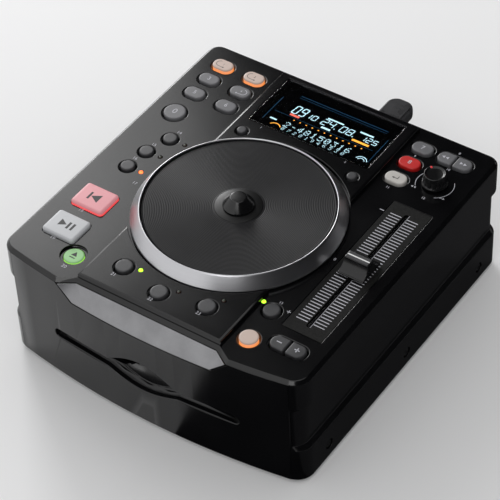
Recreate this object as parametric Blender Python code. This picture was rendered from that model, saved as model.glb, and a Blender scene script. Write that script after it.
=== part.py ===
"""Tabletop disc player for DJs: a moulded case with a slot loader in its bowed front, a large
jog platter, a display, a long pitch fader and rows of push buttons. Metres, +Z up, front at -Y."""

import math

import bmesh
import bpy
from mathutils import Matrix, Vector

MM = 0.001

# Fits and workshop values shared by every piece
GAP = 0.3 * MM
OVERRUN = 2.0 * MM
ROOT = 0.4 * MM
WELD = 0.002 * MM
SMOOTH_ANGLE = math.radians(32)
UP = Vector((0, 0, 1))
RIGHT = Vector((1, 0, 0))
BACK = Vector((0, 1, 0))

# Jog platter
PLATTER_R = 67.2 * MM
PLATTER_LIP_R = 61.6 * MM
PLATTER_H = 9.2 * MM
PLATTER_HOVER = 0.8 * MM
WELL_GAP = 1.3 * MM
WELL_R = PLATTER_R + WELL_GAP

# Pitch fader plate
FADER_PLATE_W = 27.8 * MM
FADER_PLATE_T = 0.8 * MM

# Display window
WINDOW_W = 90.0 * MM
WINDOW_D = 47.1 * MM
WINDOW_T = 1.3 * MM

# Across the case: platter, fader plate and their margins
FADER_MARGIN = 5.4 * MM
STRIP_MARGIN = 9.6 * MM
HALF_W = PLATTER_R + FADER_MARGIN + FADER_PLATE_W + STRIP_MARGIN
FADER_X = PLATTER_R + FADER_MARGIN + FADER_PLATE_W / 2

# Along the case, front to rear
CHAMFER = 2.2 * MM
PLATE_SETBACK = 9.9 * MM
ISLAND_LEDGE = 0.4 * MM
ISLAND_CHAMFER = 2.2 * MM
FRONT_ROW_D = 24.0 * MM
DISPLAY_GAP = 6.6 * MM
WINDOW_BORDER = 1.5 * MM
REAR_LEDGE = 5.0 * MM
STICK_OUT = 35.0 * MM
ISLAND_FRONT = PLATE_SETBACK + CHAMFER + ISLAND_LEDGE
WELL_FRONT = ISLAND_FRONT + ISLAND_CHAMFER + FRONT_ROW_D
WINDOW_FRONT = WELL_FRONT + 2 * WELL_R + DISPLAY_GAP
CASE_D = WINDOW_FRONT + WINDOW_D + WINDOW_BORDER + ISLAND_CHAMFER + REAR_LEDGE
Y_FRONT = -(CASE_D + STICK_OUT) / 2
Y_REAR = Y_FRONT + CASE_D
PLATTER_Y = Y_FRONT + WELL_FRONT + WELL_R
WINDOW_Y = Y_FRONT + WINDOW_FRONT + WINDOW_D / 2

# Heights
FOOT_H = 3.0 * MM
CASE_H = 85.2 * MM
ISLAND_RISE = 3.0 * MM
DECK_T = 2.5 * MM
Z_BASE = FOOT_H
Z_DECK = Z_BASE + CASE_H
Z_ISLAND = Z_DECK + ISLAND_RISE
Z_UNDER = Z_DECK - DECK_T

# Case walls
WALL = 2.6 * MM
BOW = 10.6 * MM
CORNER_R = 12.0 * MM
REAR_CORNER_R = 9.0 * MM
BAND_H = 25.4 * MM
SIDE_RAMP = 3.6 * MM
SIDE_INSET = 3.0 * MM
LIP_H = 20.5 * MM
BEZEL_HALF = 101.0 * MM
BEZEL_TOP = Z_DECK - CHAMFER - GAP
ISLAND_MARGIN = 7.0 * MM
ISLAND_HALF = WINDOW_W / 2 + ISLAND_MARGIN
BOW_STEPS = 8
ARC_STEPS = 4

# Slot for the disc
DISC_R = 60.0 * MM
SLOT_UP = 36.5 * MM
SLOT_Z = Z_BASE + SLOT_UP
SLOT_HALF_W = 68.2 * MM
SLOT_H = 6.2 * MM
THROAT_H = 5.0 * MM
DISC_SIDE_CLEAR = 3.5 * MM
THROAT_HALF_W = DISC_R + DISC_SIDE_CLEAR
THROAT_D = 13.0 * MM

# Push buttons
TRAVEL = 0.7 * MM
FLANGE_T = 1.2 * MM
FLANGE_OUT = 1.2 * MM
CAP_GAP = 0.4 * MM
RIM = 1.1 * MM
CAP_BEVEL = 0.5 * MM
SWITCH_H = 4.3 * MM
SWITCH_W = 6.0 * MM
CORNER_STEPS = 3
Z_FLANGE = Z_UNDER - GAP
Z_BOARD = Z_FLANGE - FLANGE_T - TRAVEL - GAP - SWITCH_H
BOARD_T = 1.6 * MM


def clear_scene():
    """Empty the scene before building."""
    for item in list(bpy.data.objects):
        bpy.data.objects.remove(item, do_unlink=True)


def finish(name, colour, roughness, metallic=0.0, glow=0.0):
    """One plain finish with the colour, roughness and metallic value of the real surface."""
    material = bpy.data.materials.new(name)
    material.use_nodes = True
    shader = material.node_tree.nodes["Principled BSDF"]
    shader.inputs["Base Color"].default_value = (*colour, 1)
    shader.inputs["Roughness"].default_value = roughness
    shader.inputs["Metallic"].default_value = metallic
    shader.inputs["Emission Color"].default_value = (*colour, 1)
    shader.inputs["Emission Strength"].default_value = glow
    material.diffuse_color = (*colour, 1)
    return material


def make(name, bm, material=None, place=(0, 0, 0)):
    """Close a bmesh drawn in world space into an object whose origin lies at place."""
    bmesh.ops.remove_doubles(bm, verts=bm.verts, dist=WELD)
    bmesh.ops.dissolve_degenerate(bm, edges=bm.edges, dist=WELD)
    bmesh.ops.recalc_face_normals(bm, faces=bm.faces)
    bmesh.ops.translate(bm, verts=bm.verts, vec=-Vector(place))
    mesh = bpy.data.meshes.new(name)
    bm.to_mesh(mesh)
    bm.free()
    if material is not None:
        mesh.materials.append(material)
    mesh.shade_smooth()
    mesh.set_sharp_from_angle(angle=SMOOTH_ANGLE)
    item = bpy.data.objects.new(name, mesh)
    item.location = place
    bpy.context.scene.collection.objects.link(item)
    return item


def combine(item, bm, operation, name):
    """Join a shape to a piece, or cut it away, with a live Boolean and a hidden guide."""
    guide = make(name, bm)
    guide.hide_render = True
    guide.display_type = "WIRE"
    step = item.modifiers.new(name, "BOOLEAN")
    step.operation = operation
    step.object = guide
    return guide


def cut(item, bm, name):
    """Cut a shape out of a piece."""
    return combine(item, bm, "DIFFERENCE", name + "_cutter")


def add(item, bm, name):
    """Fuse a shape to a piece."""
    return combine(item, bm, "UNION", name + "_guide")


def settle_shading():
    """Let the large faces of every cut or fused piece lead its shading."""
    for item in bpy.data.objects:
        if item.modifiers:
            item.modifiers.new("shading", "WEIGHTED_NORMAL").keep_sharp = True


def skin(bm, loops):
    """Wall between closed loops of as many points each, in order, capped at both ends."""
    rings = [[bm.verts.new(point) for point in points] for points in loops]
    for low, high in zip(rings, rings[1:]):
        for index, vert in enumerate(low):
            bm.faces.new((low[index - 1], vert, high[index], high[index - 1]))
    bm.faces.new(rings[0][::-1])
    bm.faces.new(rings[-1])


def level(points, z):
    """Plan points lifted to a height."""
    return [(x, y, z) for x, y in points]


def prism(bm, points, low, high):
    """Upright prism on a plan outline."""
    base = bm.faces.new([bm.verts.new(point) for point in level(points, low)])
    grown = bmesh.ops.extrude_face_region(bm, geom=[base])
    verts = [part for part in grown["geom"] if isinstance(part, bmesh.types.BMVert)]
    bmesh.ops.translate(bm, verts=verts, vec=UP * (high - low))


def box(bm, low, high):
    """Box between two corners."""
    low = Vector(low)
    high = Vector(high)
    matrix = Matrix.Translation((low + high) / 2) @ Matrix.Diagonal((*(high - low), 1))
    bmesh.ops.create_cube(bm, size=1, matrix=matrix)


def rod(bm, centre, direction, length, radius, sides, far_radius=None):
    """Round bar or cone from a centre of one end along a direction."""
    turn_to = Vector(direction).to_track_quat("Z", "Y").to_matrix().to_4x4()
    middle = Vector(centre) + Vector(direction) * length / 2
    bmesh.ops.create_cone(
        bm, cap_ends=True, segments=sides, radius1=radius,
        radius2=radius if far_radius is None else far_radius, depth=length,
        matrix=Matrix.Translation(middle) @ turn_to)


def turned(bm, profile, centre, sides, closed=False, direction=UP):
    """Spin a profile of (radius, height) points about an axis through centre."""
    before = set(bm.verts)
    verts = [bm.verts.new((radius, 0, height)) for radius, height in profile]
    pairs = list(zip(verts, verts[1:]))
    if closed:
        pairs.append((verts[-1], verts[0]))
    edges = [bm.edges.new(pair) for pair in pairs]
    bmesh.ops.spin(bm, geom=verts + edges, cent=(0, 0, 0), axis=UP, angle=math.tau,
                   steps=sides, use_merge=True)
    new = [vert for vert in bm.verts if vert not in before]
    bmesh.ops.remove_doubles(bm, verts=new, dist=WELD)
    new = [vert for vert in bm.verts if vert not in before]
    turn_to = direction.to_track_quat("Z", "Y").to_matrix().to_4x4()
    bmesh.ops.transform(bm, verts=new, matrix=Matrix.Translation(Vector(centre)) @ turn_to)


def rounded(centre, width, depth, left_r, right_r, grow=0.0):
    """Outline of a rounded rectangle, anticlockwise, with its own radius at either end."""
    corners = ((1, 1, right_r), (-1, 1, left_r), (-1, -1, left_r), (1, -1, right_r))
    points = []
    for corner, (side_x, side_y, radius) in enumerate(corners):
        turn_x = centre[0] + side_x * (width / 2 - radius)
        turn_y = centre[1] + side_y * (depth / 2 - radius)
        for step in range(CORNER_STEPS + 1):
            angle = math.pi / 2 * (corner + step / CORNER_STEPS)
            point = Vector((turn_x, turn_y)) + Vector((math.cos(angle), math.sin(angle))) * (radius + grow)
            if not points or (point - points[-1]).length > WELD:
                points.append(point)
    if (points[0] - points[-1]).length < WELD:
        points.pop()
    return [tuple(point) for point in points]


# Plan of the case

def front_y(x):
    """The bowed front: its apex is in the middle."""
    return Y_FRONT + BOW * (x / HALF_W) ** 2


def front_slope(x):
    """Angle of the bowed front to the X axis."""
    return math.atan(2 * BOW * x / HALF_W ** 2)


def case_outline(inset=0.0, inward=0.0):
    """Plan outline of the case, anticlockwise from the front left. The side walls and corners
    move in by inset; the whole outline moves in by inward."""
    slope = front_slope(HALF_W - CORNER_R)
    reach = HALF_W - CORNER_R + CORNER_R * math.sin(slope)
    points = []
    for step in range(BOW_STEPS + 1):
        x = reach * (2 * step / BOW_STEPS - 1)
        tilt = front_slope(x)
        shift = -inset if step == BOW_STEPS else inset if step == 0 else 0.0
        points.append((x + shift - inward * math.sin(tilt), front_y(x) + inward * math.cos(tilt)))
    centre_x = HALF_W - CORNER_R - inset
    centre_y = front_y(reach) + CORNER_R * math.cos(slope)
    right = []
    for step in range(1, ARC_STEPS + 1):
        angle = (slope - math.pi / 2) * (1 - step / ARC_STEPS)
        right.append((centre_x + (CORNER_R - inward) * math.cos(angle),
                      centre_y + (CORNER_R - inward) * math.sin(angle)))
    rear_x = HALF_W - REAR_CORNER_R - inset
    for step in range(ARC_STEPS + 1):
        angle = math.pi / 2 * step / ARC_STEPS
        right.append((rear_x + (REAR_CORNER_R - inward) * math.cos(angle),
                      Y_REAR - REAR_CORNER_R + (REAR_CORNER_R - inward) * math.sin(angle)))
    left = [(-x, y) for x, y in reversed(right)]
    return points + right + left


def notch_outline(grow):
    """Plan of the notch in the deck's front edge above the name plate. It runs out past the front."""
    lean = math.atan2(PLATE_EAR - PLATE_TOP_HALF, PLATE_SETBACK - (front_y(PLATE_EAR) - Y_FRONT))
    rear = Y_FRONT + PLATE_SETBACK + grow
    inner = PLATE_TOP_HALF + grow * (1 - math.sin(lean)) / math.cos(lean)
    front = Y_FRONT - OVERRUN
    outer = inner + (rear - front) * math.tan(lean)
    return [(-outer, front), (outer, front), (inner, rear), (-inner, rear)]


# Name plate: a bare sloped facet with a triangular ear at either end

PLATE_TOP_HALF = 51.3 * MM
PLATE_LOW_HALF = 50.6 * MM
PLATE_EAR = 62.2 * MM
PLATE_DROP = 10.4 * MM
PLATE_T = 1.6 * MM
PLATE_SEAT_T = 2.2 * MM
PLATE_STEPS = 8
PLATE_OUT = Vector((0, -PLATE_DROP, PLATE_SETBACK)).normalized()
PLATE_UP = Vector((0, PLATE_SETBACK, PLATE_DROP)).normalized()


def plate_slab(bm, out, depth, grow):
    """Slab in the form of the name plate, from out before its face to depth behind it."""
    top_z = BEZEL_TOP
    low = []
    top = []
    for step in range(PLATE_STEPS + 1):
        share = 2 * step / PLATE_STEPS - 1
        x = share * (PLATE_LOW_HALF + grow)
        low.append(Vector((x, front_y(x), top_z - PLATE_DROP)) - PLATE_UP * grow)
        top.append(Vector((share * (PLATE_TOP_HALF + grow), Y_FRONT + PLATE_SETBACK, top_z)) + PLATE_UP * grow)
    rise = (front_y(PLATE_EAR) - front_y(PLATE_LOW_HALF)) * PLATE_UP.y + PLATE_DROP * PLATE_UP.z
    slant = math.atan2(rise, PLATE_EAR - PLATE_LOW_HALF)
    ear = PLATE_EAR + grow * (1 + math.cos(slant)) / math.sin(slant)
    ears = [Vector((side * ear, front_y(PLATE_EAR), top_z)) + PLATE_UP * grow for side in (-1, 1)]
    low = [bm.verts.new(point + PLATE_OUT * out) for point in low]
    top = [bm.verts.new(point + PLATE_OUT * out) for point in top]
    ears = [bm.verts.new(point + PLATE_OUT * out) for point in ears]
    faces = []
    for i in range(PLATE_STEPS):
        corners = [low[i], low[i + 1], top[i + 1], top[i]]
        if i < PLATE_STEPS / 2:
            corners.append(corners.pop(0))
        faces.append(bm.faces.new(corners[:-1]))
        faces.append(bm.faces.new([corners[0]] + corners[2:]))
    faces.append(bm.faces.new((low[-1], ears[1], top[-1])))
    faces.append(bm.faces.new((low[0], top[0], ears[0])))
    grown = bmesh.ops.extrude_face_region(bm, geom=faces)
    verts = [part for part in grown["geom"] if isinstance(part, bmesh.types.BMVert)]
    bmesh.ops.translate(bm, verts=verts, vec=-PLATE_OUT * (out + depth))


def name_plate(metal):
    """Satin plate set in the front's upper edge, left bare."""
    bm = bmesh.new()
    plate_slab(bm, 0.0, PLATE_T, -GAP)
    return make("name_plate", bm, metal)


# Places of the controls. Shares run across a strip from the island, and along the case from
# its front; the rest lie on circles round the platter.

COLUMN_SHARES = {"inner": 0.235, "outer": 0.66, "pad": 0.547, "right": 0.19, "pair": 0.59}
ROW_SHARES = {"rear": 0.9203, "second": 0.8538, "third": 0.7856, "knob": 0.8199, "tap": 0.692,
              "cue": 0.2995, "play": 0.1792, "eject": 0.1108, "jog": 0.1081}
EFFECT_OUT = 18.1 * MM
TRICK_OUT = 14.4 * MM
KEY_OUT = 16.1 * MM
SMALL_OUT = 8.5 * MM
LAMP_OUT = 8.0 * MM
KEY_LAMP_OUT = 7.3 * MM
BEND_ROOM = 13.0 * MM


def strip_x(side, column):
    """X of a column on the left (-1) or right (1) strip."""
    return side * (ISLAND_HALF + COLUMN_SHARES[column] * (HALF_W - ISLAND_HALF))


def row_y(row):
    """Y of a row of controls."""
    return Y_FRONT + ROW_SHARES[row] * CASE_D


def bend_y():
    """Y of the bend pair, in front of the fader plate."""
    return PLATTER_Y - FADER_PLATE_L / 2 - BEND_ROOM


def orbit(degrees, outward):
    """Place round the platter's axis, a distance outside the platter."""
    angle = math.radians(degrees)
    radius = PLATTER_R + outward
    return (radius * math.cos(angle), PLATTER_Y + radius * math.sin(angle))


# Button caps

OBLONG_W = 14.4 * MM
OBLONG_D = 9.8 * MM
OBLONG_R = 4.6 * MM
PAIR_W = 11.1 * MM
PAIR_D = 10.0 * MM
PAIR_R = 4.6 * MM
PAIR_INNER_R = 1.0 * MM
PAIR_SPLIT = 1.2 * MM
PAD_W = 24.2 * MM
PAD_D = 19.8 * MM
PAD_R = 2.4 * MM
PAD_BEVEL = 0.9 * MM
TAP_DIA = 14.7 * MM
EFFECT_DIA = 9.4 * MM
TRICK_DIA = 11.0 * MM
SMALL_DIA = 6.5 * MM
KEY_DIA = 10.7 * MM
JOG_DIA = 11.8 * MM
EJECT_DIA = 12.9 * MM
EJECT_WELL_DIA = 17.3 * MM
EJECT_WELL_D = 1.6 * MM
CAP_RISE = 1.4 * MM
LIT_RISE = 2.0 * MM
PAD_RISE = 2.7 * MM
EJECT_DROP = 0.8 * MM


def cap(name, place, size, colour, rise=CAP_RISE, bevel=CAP_BEVEL, deck=Z_DECK, split=0, rim=RIM):
    """Facts of one button: size is width, depth, left radius and right radius."""
    return {"name": name, "place": place, "size": size, "colour": colour, "rise": rise,
            "bevel": bevel, "deck": deck, "split": split, "rim": rim}


def round_size(diameter):
    """Size of a round cap."""
    return (diameter, diameter, diameter / 2, diameter / 2)


def button_table():
    """Every button on the top, strip by strip."""
    oblong = (OBLONG_W, OBLONG_D, OBLONG_R, OBLONG_R)
    pad = (PAD_W, PAD_D, PAD_R, PAD_R)
    left_half = (PAIR_W, PAIR_D, PAIR_R, PAIR_INNER_R)
    right_half = (PAIR_W, PAIR_D, PAIR_INNER_R, PAIR_R)
    step = (PAIR_W + PAIR_SPLIT) / 2
    pair_x = strip_x(1, "pair")
    caps = [
        cap("play_button", (strip_x(-1, "pad"), row_y("play")), pad, "pale", PAD_RISE, PAD_BEVEL, rim=0.0),
        cap("cue_button", (strip_x(-1, "pad"), row_y("cue")), pad, "pink", PAD_RISE, PAD_BEVEL, rim=0.0),
        cap("eject_button", (strip_x(-1, "inner"), row_y("eject")), round_size(EJECT_DIA), "green", -EJECT_DROP,
            rim=0.0),
        cap("jog_mode_button", (strip_x(1, "right"), row_y("jog")), round_size(JOG_DIA), "amber", LIT_RISE),
        cap("bend_minus_button", (pair_x - step, bend_y()), left_half, "grey", split=1),
        cap("bend_plus_button", (pair_x + step, bend_y()), right_half, "grey", split=-1),
        cap("search_back_button", (pair_x - step, row_y("rear")), left_half, "grey", split=1),
        cap("search_forward_button", (pair_x + step, row_y("rear")), right_half, "grey", split=-1),
        cap("tap_button", (strip_x(-1, "outer"), row_y("tap")), round_size(TAP_DIA), "grey"),
        cap("key_button", orbit(-42.2, KEY_OUT), round_size(KEY_DIA), "grey"),
    ]
    columns = {"left": (-1, "amber", "amber", "grey", "grey", "grey", "grey"),
               "right": (1, "grey", None, "red", None, "white", None)}
    names = {"left": ("hot_start_one_button", "hot_start_two_button", "flip_button", "loop_button",
                      "next_track_button", "exit_button"),
             "right": ("memo_button", None, "source_button", None, "back_button", None)}
    spots = (("outer", "rear"), ("inner", "rear"), ("outer", "second"), ("inner", "second"),
             ("outer", "third"), ("inner", "third"))
    right_spots = (("right", "rear"), None, ("right", "second"), None, ("right", "third"), None)
    for side_name, places in (("left", spots), ("right", right_spots)):
        side, *colours = columns[side_name]
        for name, colour, spot in zip(names[side_name], colours, places):
            if name is not None:
                rise = LIT_RISE if colour == "amber" else CAP_RISE
                caps.append(cap(name, (strip_x(side, spot[0]), row_y(spot[1])), oblong, colour, rise))
    for name, degrees in (("echo_button", 155.6), ("flanger_button", 168.1), ("filter_button", 179.9)):
        caps.append(cap(name, orbit(degrees, EFFECT_OUT), round_size(EFFECT_DIA), "grey"))
    for name, degrees in (("brake_button", 247.3), ("dump_button", 269.2), ("reverse_button", 291.3)):
        caps.append(cap(name, orbit(degrees, TRICK_OUT), round_size(TRICK_DIA), "dark", deck=Z_ISLAND))
    for name, degrees in (("time_button", 123.3), ("sync_button", 57.4)):
        caps.append(cap(name, orbit(degrees, SMALL_OUT), round_size(SMALL_DIA), "grey", deck=Z_ISLAND))
    return caps


def cap_outline(facts, grow=0.0, ends=True):
    """Outline of a cap, grown all round, or only at its front and back where ends is false."""
    width, depth, left_r, right_r = facts["size"]
    points = rounded(facts["place"], width, depth, left_r, right_r, grow)
    if ends:
        return points
    left = facts["place"][0] - width / 2
    right = facts["place"][0] + width / 2
    return [(min(max(x, left), right), y) for x, y in points]


def button(facts, material):
    """Moulded cap with a bevelled top, and under the deck the flange that keeps it in its hole."""
    bm = bmesh.new()
    top = facts["deck"] + facts["rise"]
    flange = cap_outline(facts, FLANGE_OUT, ends=not facts["split"])
    body = cap_outline(facts)
    skin(bm, [level(flange, Z_FLANGE - FLANGE_T), level(flange, Z_FLANGE), level(body, Z_FLANGE),
              level(body, top - facts["bevel"]), level(cap_outline(facts, -facts["bevel"]), top)])
    return make(facts["name"], bm, material, (*facts["place"], Z_FLANGE))


def hole_loops(outline_of, deck, rim):
    """Loops of a hole through the deck whose mouth flares by rim."""
    loops = [level(outline_of(CAP_GAP), Z_UNDER - OVERRUN)]
    if rim:
        loops.append(level(outline_of(CAP_GAP), deck - rim))
    loops.append(level(outline_of(CAP_GAP + rim), deck))
    loops.append(level(outline_of(CAP_GAP + rim), deck + OVERRUN))
    return loops


def button_holes(caps):
    """Cutter for every button's hole. The two halves of a pair share one hole."""
    bm = bmesh.new()
    for facts in caps:
        if facts["split"] < 0:
            continue
        width, depth, left_r, right_r = facts["size"]
        x, y = facts["place"]
        if facts["split"]:
            span = 2 * PAIR_W + PAIR_SPLIT
            x += (PAIR_W + PAIR_SPLIT) / 2
            width, left_r, right_r = span, PAIR_R, PAIR_R
        skin(bm, hole_loops(lambda grow: rounded((x, y), width, depth, left_r, right_r, grow),
                            facts["deck"], facts["rim"]))
    return bm


# Indicator lamps

LAMP_DIA = 2.6 * MM
LAMP_RISE = 0.5 * MM
LAMP_SIDES = 6


def lamp_places():
    """Centre and deck height of each lamp, anticlockwise from the echo lamp."""
    strip = [(orbit(degrees, LAMP_OUT), Z_DECK) for degrees in (152.0, 166.2, 179.8)]
    strip.append((orbit(315.8, KEY_LAMP_OUT), Z_DECK))
    island = [(orbit(degrees, LAMP_OUT), Z_ISLAND) for degrees in (253.4, 276.4, 297.8)]
    return strip + island


def lamps(bm):
    """Domed lamps standing on the key board, up through their holes in the deck."""
    radius = LAMP_DIA / 2
    for (x, y), deck in lamp_places():
        turned(bm, [(0, Z_BOARD - ROOT), (radius, Z_BOARD - ROOT), (radius, deck),
                    (radius / 2, deck + LAMP_RISE), (0, deck + LAMP_RISE)], (x, y, 0), LAMP_SIDES)


def lamp_holes():
    """Cutter for the lamps' holes."""
    bm = bmesh.new()
    for (x, y), deck in lamp_places():
        rod(bm, (x, y, Z_UNDER - OVERRUN), UP, deck - Z_UNDER + 2 * OVERRUN, LAMP_DIA / 2 + GAP, LAMP_SIDES)
    return bm


# Parameter encoder and its knob

KNOB_R = 8.3 * MM
KNOB_TOP_R = 7.2 * MM
KNOB_H = 8.4 * MM
KNOB_LIFT = 1.2 * MM
KNOB_DISH = 1.0 * MM
FLUTE_D = 0.5 * MM
FLUTES = 12
KNOB_SKIRT = 1.3 * MM
SHAFT_R = 2.9 * MM
SHAFT_TOP = 6.6 * MM
BUSHING_R = 4.6 * MM
BUSHING_TOP = 3.0 * MM
ENCODER_W = 12.0 * MM
ENCODER_H = SWITCH_H + TRAVEL + FLANGE_T
ROTOR_R = 4.9 * MM
ROTOR_T = 1.2 * MM
ENCODER_FLOOR = 1.0 * MM
ENCODER_SIDES = 12
KNOB_PLACE = (strip_x(1, "pair"), row_y("knob"))


def flutes(radius, z):
    """Fluted plan of the knob at one height."""
    points = []
    for step in range(2 * FLUTES):
        angle = math.pi * step / FLUTES
        reach = radius - FLUTE_D * (step % 2)
        points.append((KNOB_PLACE[0] + reach * math.cos(angle), KNOB_PLACE[1] + reach * math.sin(angle), z))
    return points


def encoder_block(bm):
    """Encoder soldered on the key board: a square body with a bushing up through the deck."""
    x, y = KNOB_PLACE
    high = Z_BOARD + ENCODER_H
    box(bm, (x - ENCODER_W / 2, y - ENCODER_W / 2, Z_BOARD - ROOT), (x + ENCODER_W / 2, y + ENCODER_W / 2, high))


def encoder_bushing(bm):
    """Threadless bushing on top of the encoder."""
    low = Z_BOARD + ENCODER_H - ROOT
    rod(bm, (*KNOB_PLACE, low), UP, Z_DECK + BUSHING_TOP - low, BUSHING_R, ENCODER_SIDES)


def encoder_bore(bm):
    """Hollow of the encoder: the room of the rotor and the bore of the shaft."""
    bore = SHAFT_R + GAP
    cavity_low = Z_BOARD + ENCODER_FLOOR
    cavity_high = cavity_low + ROTOR_T + 2 * GAP
    top = Z_DECK + BUSHING_TOP + OVERRUN
    turned(bm, [(0, cavity_low), (ROTOR_R + GAP, cavity_low), (ROTOR_R + GAP, cavity_high),
                (bore, cavity_high), (bore, top), (0, top)], (*KNOB_PLACE, 0), ENCODER_SIDES)


def encoder_rotor(material):
    """Detent wheel that turns with the shaft."""
    x, y = KNOB_PLACE
    low = Z_BOARD + ENCODER_FLOOR + GAP
    bm = bmesh.new()
    turned(bm, [(SHAFT_R + GAP, low), (ROTOR_R, low), (ROTOR_R, low + ROTOR_T), (SHAFT_R + GAP, low + ROTOR_T)],
           (x, y, 0), ENCODER_SIDES, closed=True)
    return make("encoder_rotor", bm, material, (x, y, low))


def encoder_shaft(material):
    """Shaft that turns the rotor and slides through it when the knob is pressed."""
    x, y = KNOB_PLACE
    low = Z_BOARD + ENCODER_FLOOR + TRAVEL + GAP
    bm = bmesh.new()
    rod(bm, (x, y, low), UP, Z_DECK + SHAFT_TOP - low, SHAFT_R, ENCODER_SIDES)
    return make("encoder_shaft", bm, material, (x, y, Z_DECK))


def parameter_knob(material):
    """Fluted knob with a dished top, a skirt and a bore for the shaft."""
    x, y = KNOB_PLACE
    low = Z_DECK + KNOB_LIFT
    top = low + KNOB_H
    bm = bmesh.new()
    skin(bm, [flutes(KNOB_R, low), flutes(KNOB_R - FLUTE_D / 2, low + KNOB_SKIRT),
              flutes(KNOB_TOP_R, top - CAP_BEVEL), flutes(KNOB_TOP_R - CAP_BEVEL, top),
              flutes(KNOB_TOP_R - 2 * CAP_BEVEL, top), flutes(KNOB_TOP_R / 2, top - KNOB_DISH)])
    piece = make("parameter_knob", bm, material, (x, y, Z_DECK))
    bm = bmesh.new()
    bore = SHAFT_R + GAP
    bushing_clear = BUSHING_R + GAP
    bushing_end = Z_DECK + BUSHING_TOP + TRAVEL + GAP
    turned(bm, [(0, low - OVERRUN), (bushing_clear, low - OVERRUN), (bushing_clear, bushing_end),
                (bore, bushing_end), (bore, Z_DECK + SHAFT_TOP + GAP), (0, Z_DECK + SHAFT_TOP + GAP)],
           (x, y, 0), ENCODER_SIDES)
    cut(piece, bm, "knob_bore")
    return piece


# Pitch fader

FADER_THROW = 50.0 * MM
STEM_W = 1.4 * MM
STEM_L = 5.0 * MM
STEM_TOP = 6.0 * MM
PLATE_SLOT_W = 2.9 * MM
FADER_BODY_W = 14.0 * MM
FADER_END = 6.4 * MM
FADER_PLATE_END = 6.8 * MM
FADER_BODY_H = 9.5 * MM
FADER_SHEET = 1.1 * MM
CARRIAGE_L = 11.0 * MM
FADER_CAP_W = 18.0 * MM
FADER_CAP_L = 20.0 * MM
FADER_CAP_TOP_L = 6.6 * MM
FADER_CAP_H = 9.0 * MM
FADER_CAP_LIFT = 0.8 * MM
FADER_CAP_FOOT = 1.3 * MM
FADER_CAP_STEPS = 5
SLOT_SPARE = 3.0 * MM
SLOT_HALF_L = FADER_THROW + STEM_L / 2 + SLOT_SPARE
FADER_PLATE_L = 2 * (SLOT_HALF_L + FADER_PLATE_END)
FADER_BODY_L = 2 * (FADER_THROW + CARRIAGE_L / 2 + FADER_END + FADER_SHEET)
FADER_TOP = Z_UNDER - GAP


def fader_plate(material):
    """Thin plate let into the deck, with the long slot for the fader's stem."""
    bm = bmesh.new()
    half_w = FADER_PLATE_W / 2 - GAP
    half_l = FADER_PLATE_L / 2 - GAP
    box(bm, (FADER_X - half_w, PLATTER_Y - half_l, Z_DECK - FADER_PLATE_T),
        (FADER_X + half_w, PLATTER_Y + half_l, Z_DECK))
    piece = make("fader_plate", bm, material)
    bm = bmesh.new()
    points = rounded((FADER_X, PLATTER_Y), PLATE_SLOT_W, 2 * SLOT_HALF_L, PLATE_SLOT_W / 2, PLATE_SLOT_W / 2)
    prism(bm, points, Z_DECK - FADER_PLATE_T - OVERRUN, Z_DECK + OVERRUN)
    cut(piece, bm, "fader_plate_slot")
    return piece


def fader_pocket():
    """Shallow pocket in the deck for the fader plate."""
    bm = bmesh.new()
    floor = Z_DECK - FADER_PLATE_T - GAP
    box(bm, (FADER_X - FADER_PLATE_W / 2, PLATTER_Y - FADER_PLATE_L / 2, floor),
        (FADER_X + FADER_PLATE_W / 2, PLATTER_Y + FADER_PLATE_L / 2, Z_DECK + OVERRUN))
    return bm


def fader_opening():
    """Slot in the deck under the fader plate."""
    bm = bmesh.new()
    half_w = PLATE_SLOT_W / 2 + GAP
    box(bm, (FADER_X - half_w, PLATTER_Y - SLOT_HALF_L - GAP, Z_UNDER - OVERRUN),
        (FADER_X + half_w, PLATTER_Y + SLOT_HALF_L + GAP, Z_DECK - FADER_PLATE_T))
    return bm


def fader_body(material):
    """Bent metal housing of the fader, closed but for the slot in its top."""
    half_w = FADER_BODY_W / 2
    half_l = FADER_BODY_L / 2
    low = FADER_TOP - FADER_BODY_H
    bm = bmesh.new()
    box(bm, (FADER_X - half_w, PLATTER_Y - half_l, low), (FADER_X + half_w, PLATTER_Y + half_l, FADER_TOP))
    piece = make("fader_body", bm, material)
    bm = bmesh.new()
    half_w -= FADER_SHEET
    half_l -= FADER_SHEET
    box(bm, (FADER_X - half_w, PLATTER_Y - half_l, low + FADER_SHEET),
        (FADER_X + half_w, PLATTER_Y + half_l, FADER_TOP - FADER_SHEET))
    cut(piece, bm, "fader_cavity")
    bm = bmesh.new()
    half_w = PLATE_SLOT_W / 2
    box(bm, (FADER_X - half_w, PLATTER_Y - SLOT_HALF_L, FADER_TOP - FADER_SHEET - OVERRUN),
        (FADER_X + half_w, PLATTER_Y + SLOT_HALF_L, FADER_TOP + OVERRUN))
    cut(piece, bm, "fader_slot")
    return piece


def fader_carriage(material):
    """Carriage inside the fader, with the stem that comes up through the slots."""
    half_w = FADER_BODY_W / 2 - FADER_SHEET - GAP
    low = FADER_TOP - FADER_BODY_H + FADER_SHEET + GAP
    shoulder = FADER_TOP - FADER_SHEET - GAP
    bm = bmesh.new()
    box(bm, (FADER_X - half_w, PLATTER_Y - CARRIAGE_L / 2, low),
        (FADER_X + half_w, PLATTER_Y + CARRIAGE_L / 2, shoulder))
    piece = make("fader_carriage", bm, material, (FADER_X, PLATTER_Y, FADER_TOP))
    bm = bmesh.new()
    box(bm, (FADER_X - STEM_W / 2, PLATTER_Y - STEM_L / 2, shoulder - ROOT),
        (FADER_X + STEM_W / 2, PLATTER_Y + STEM_L / 2, Z_DECK + STEM_TOP))
    add(piece, bm, "fader_stem")
    return piece


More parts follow.
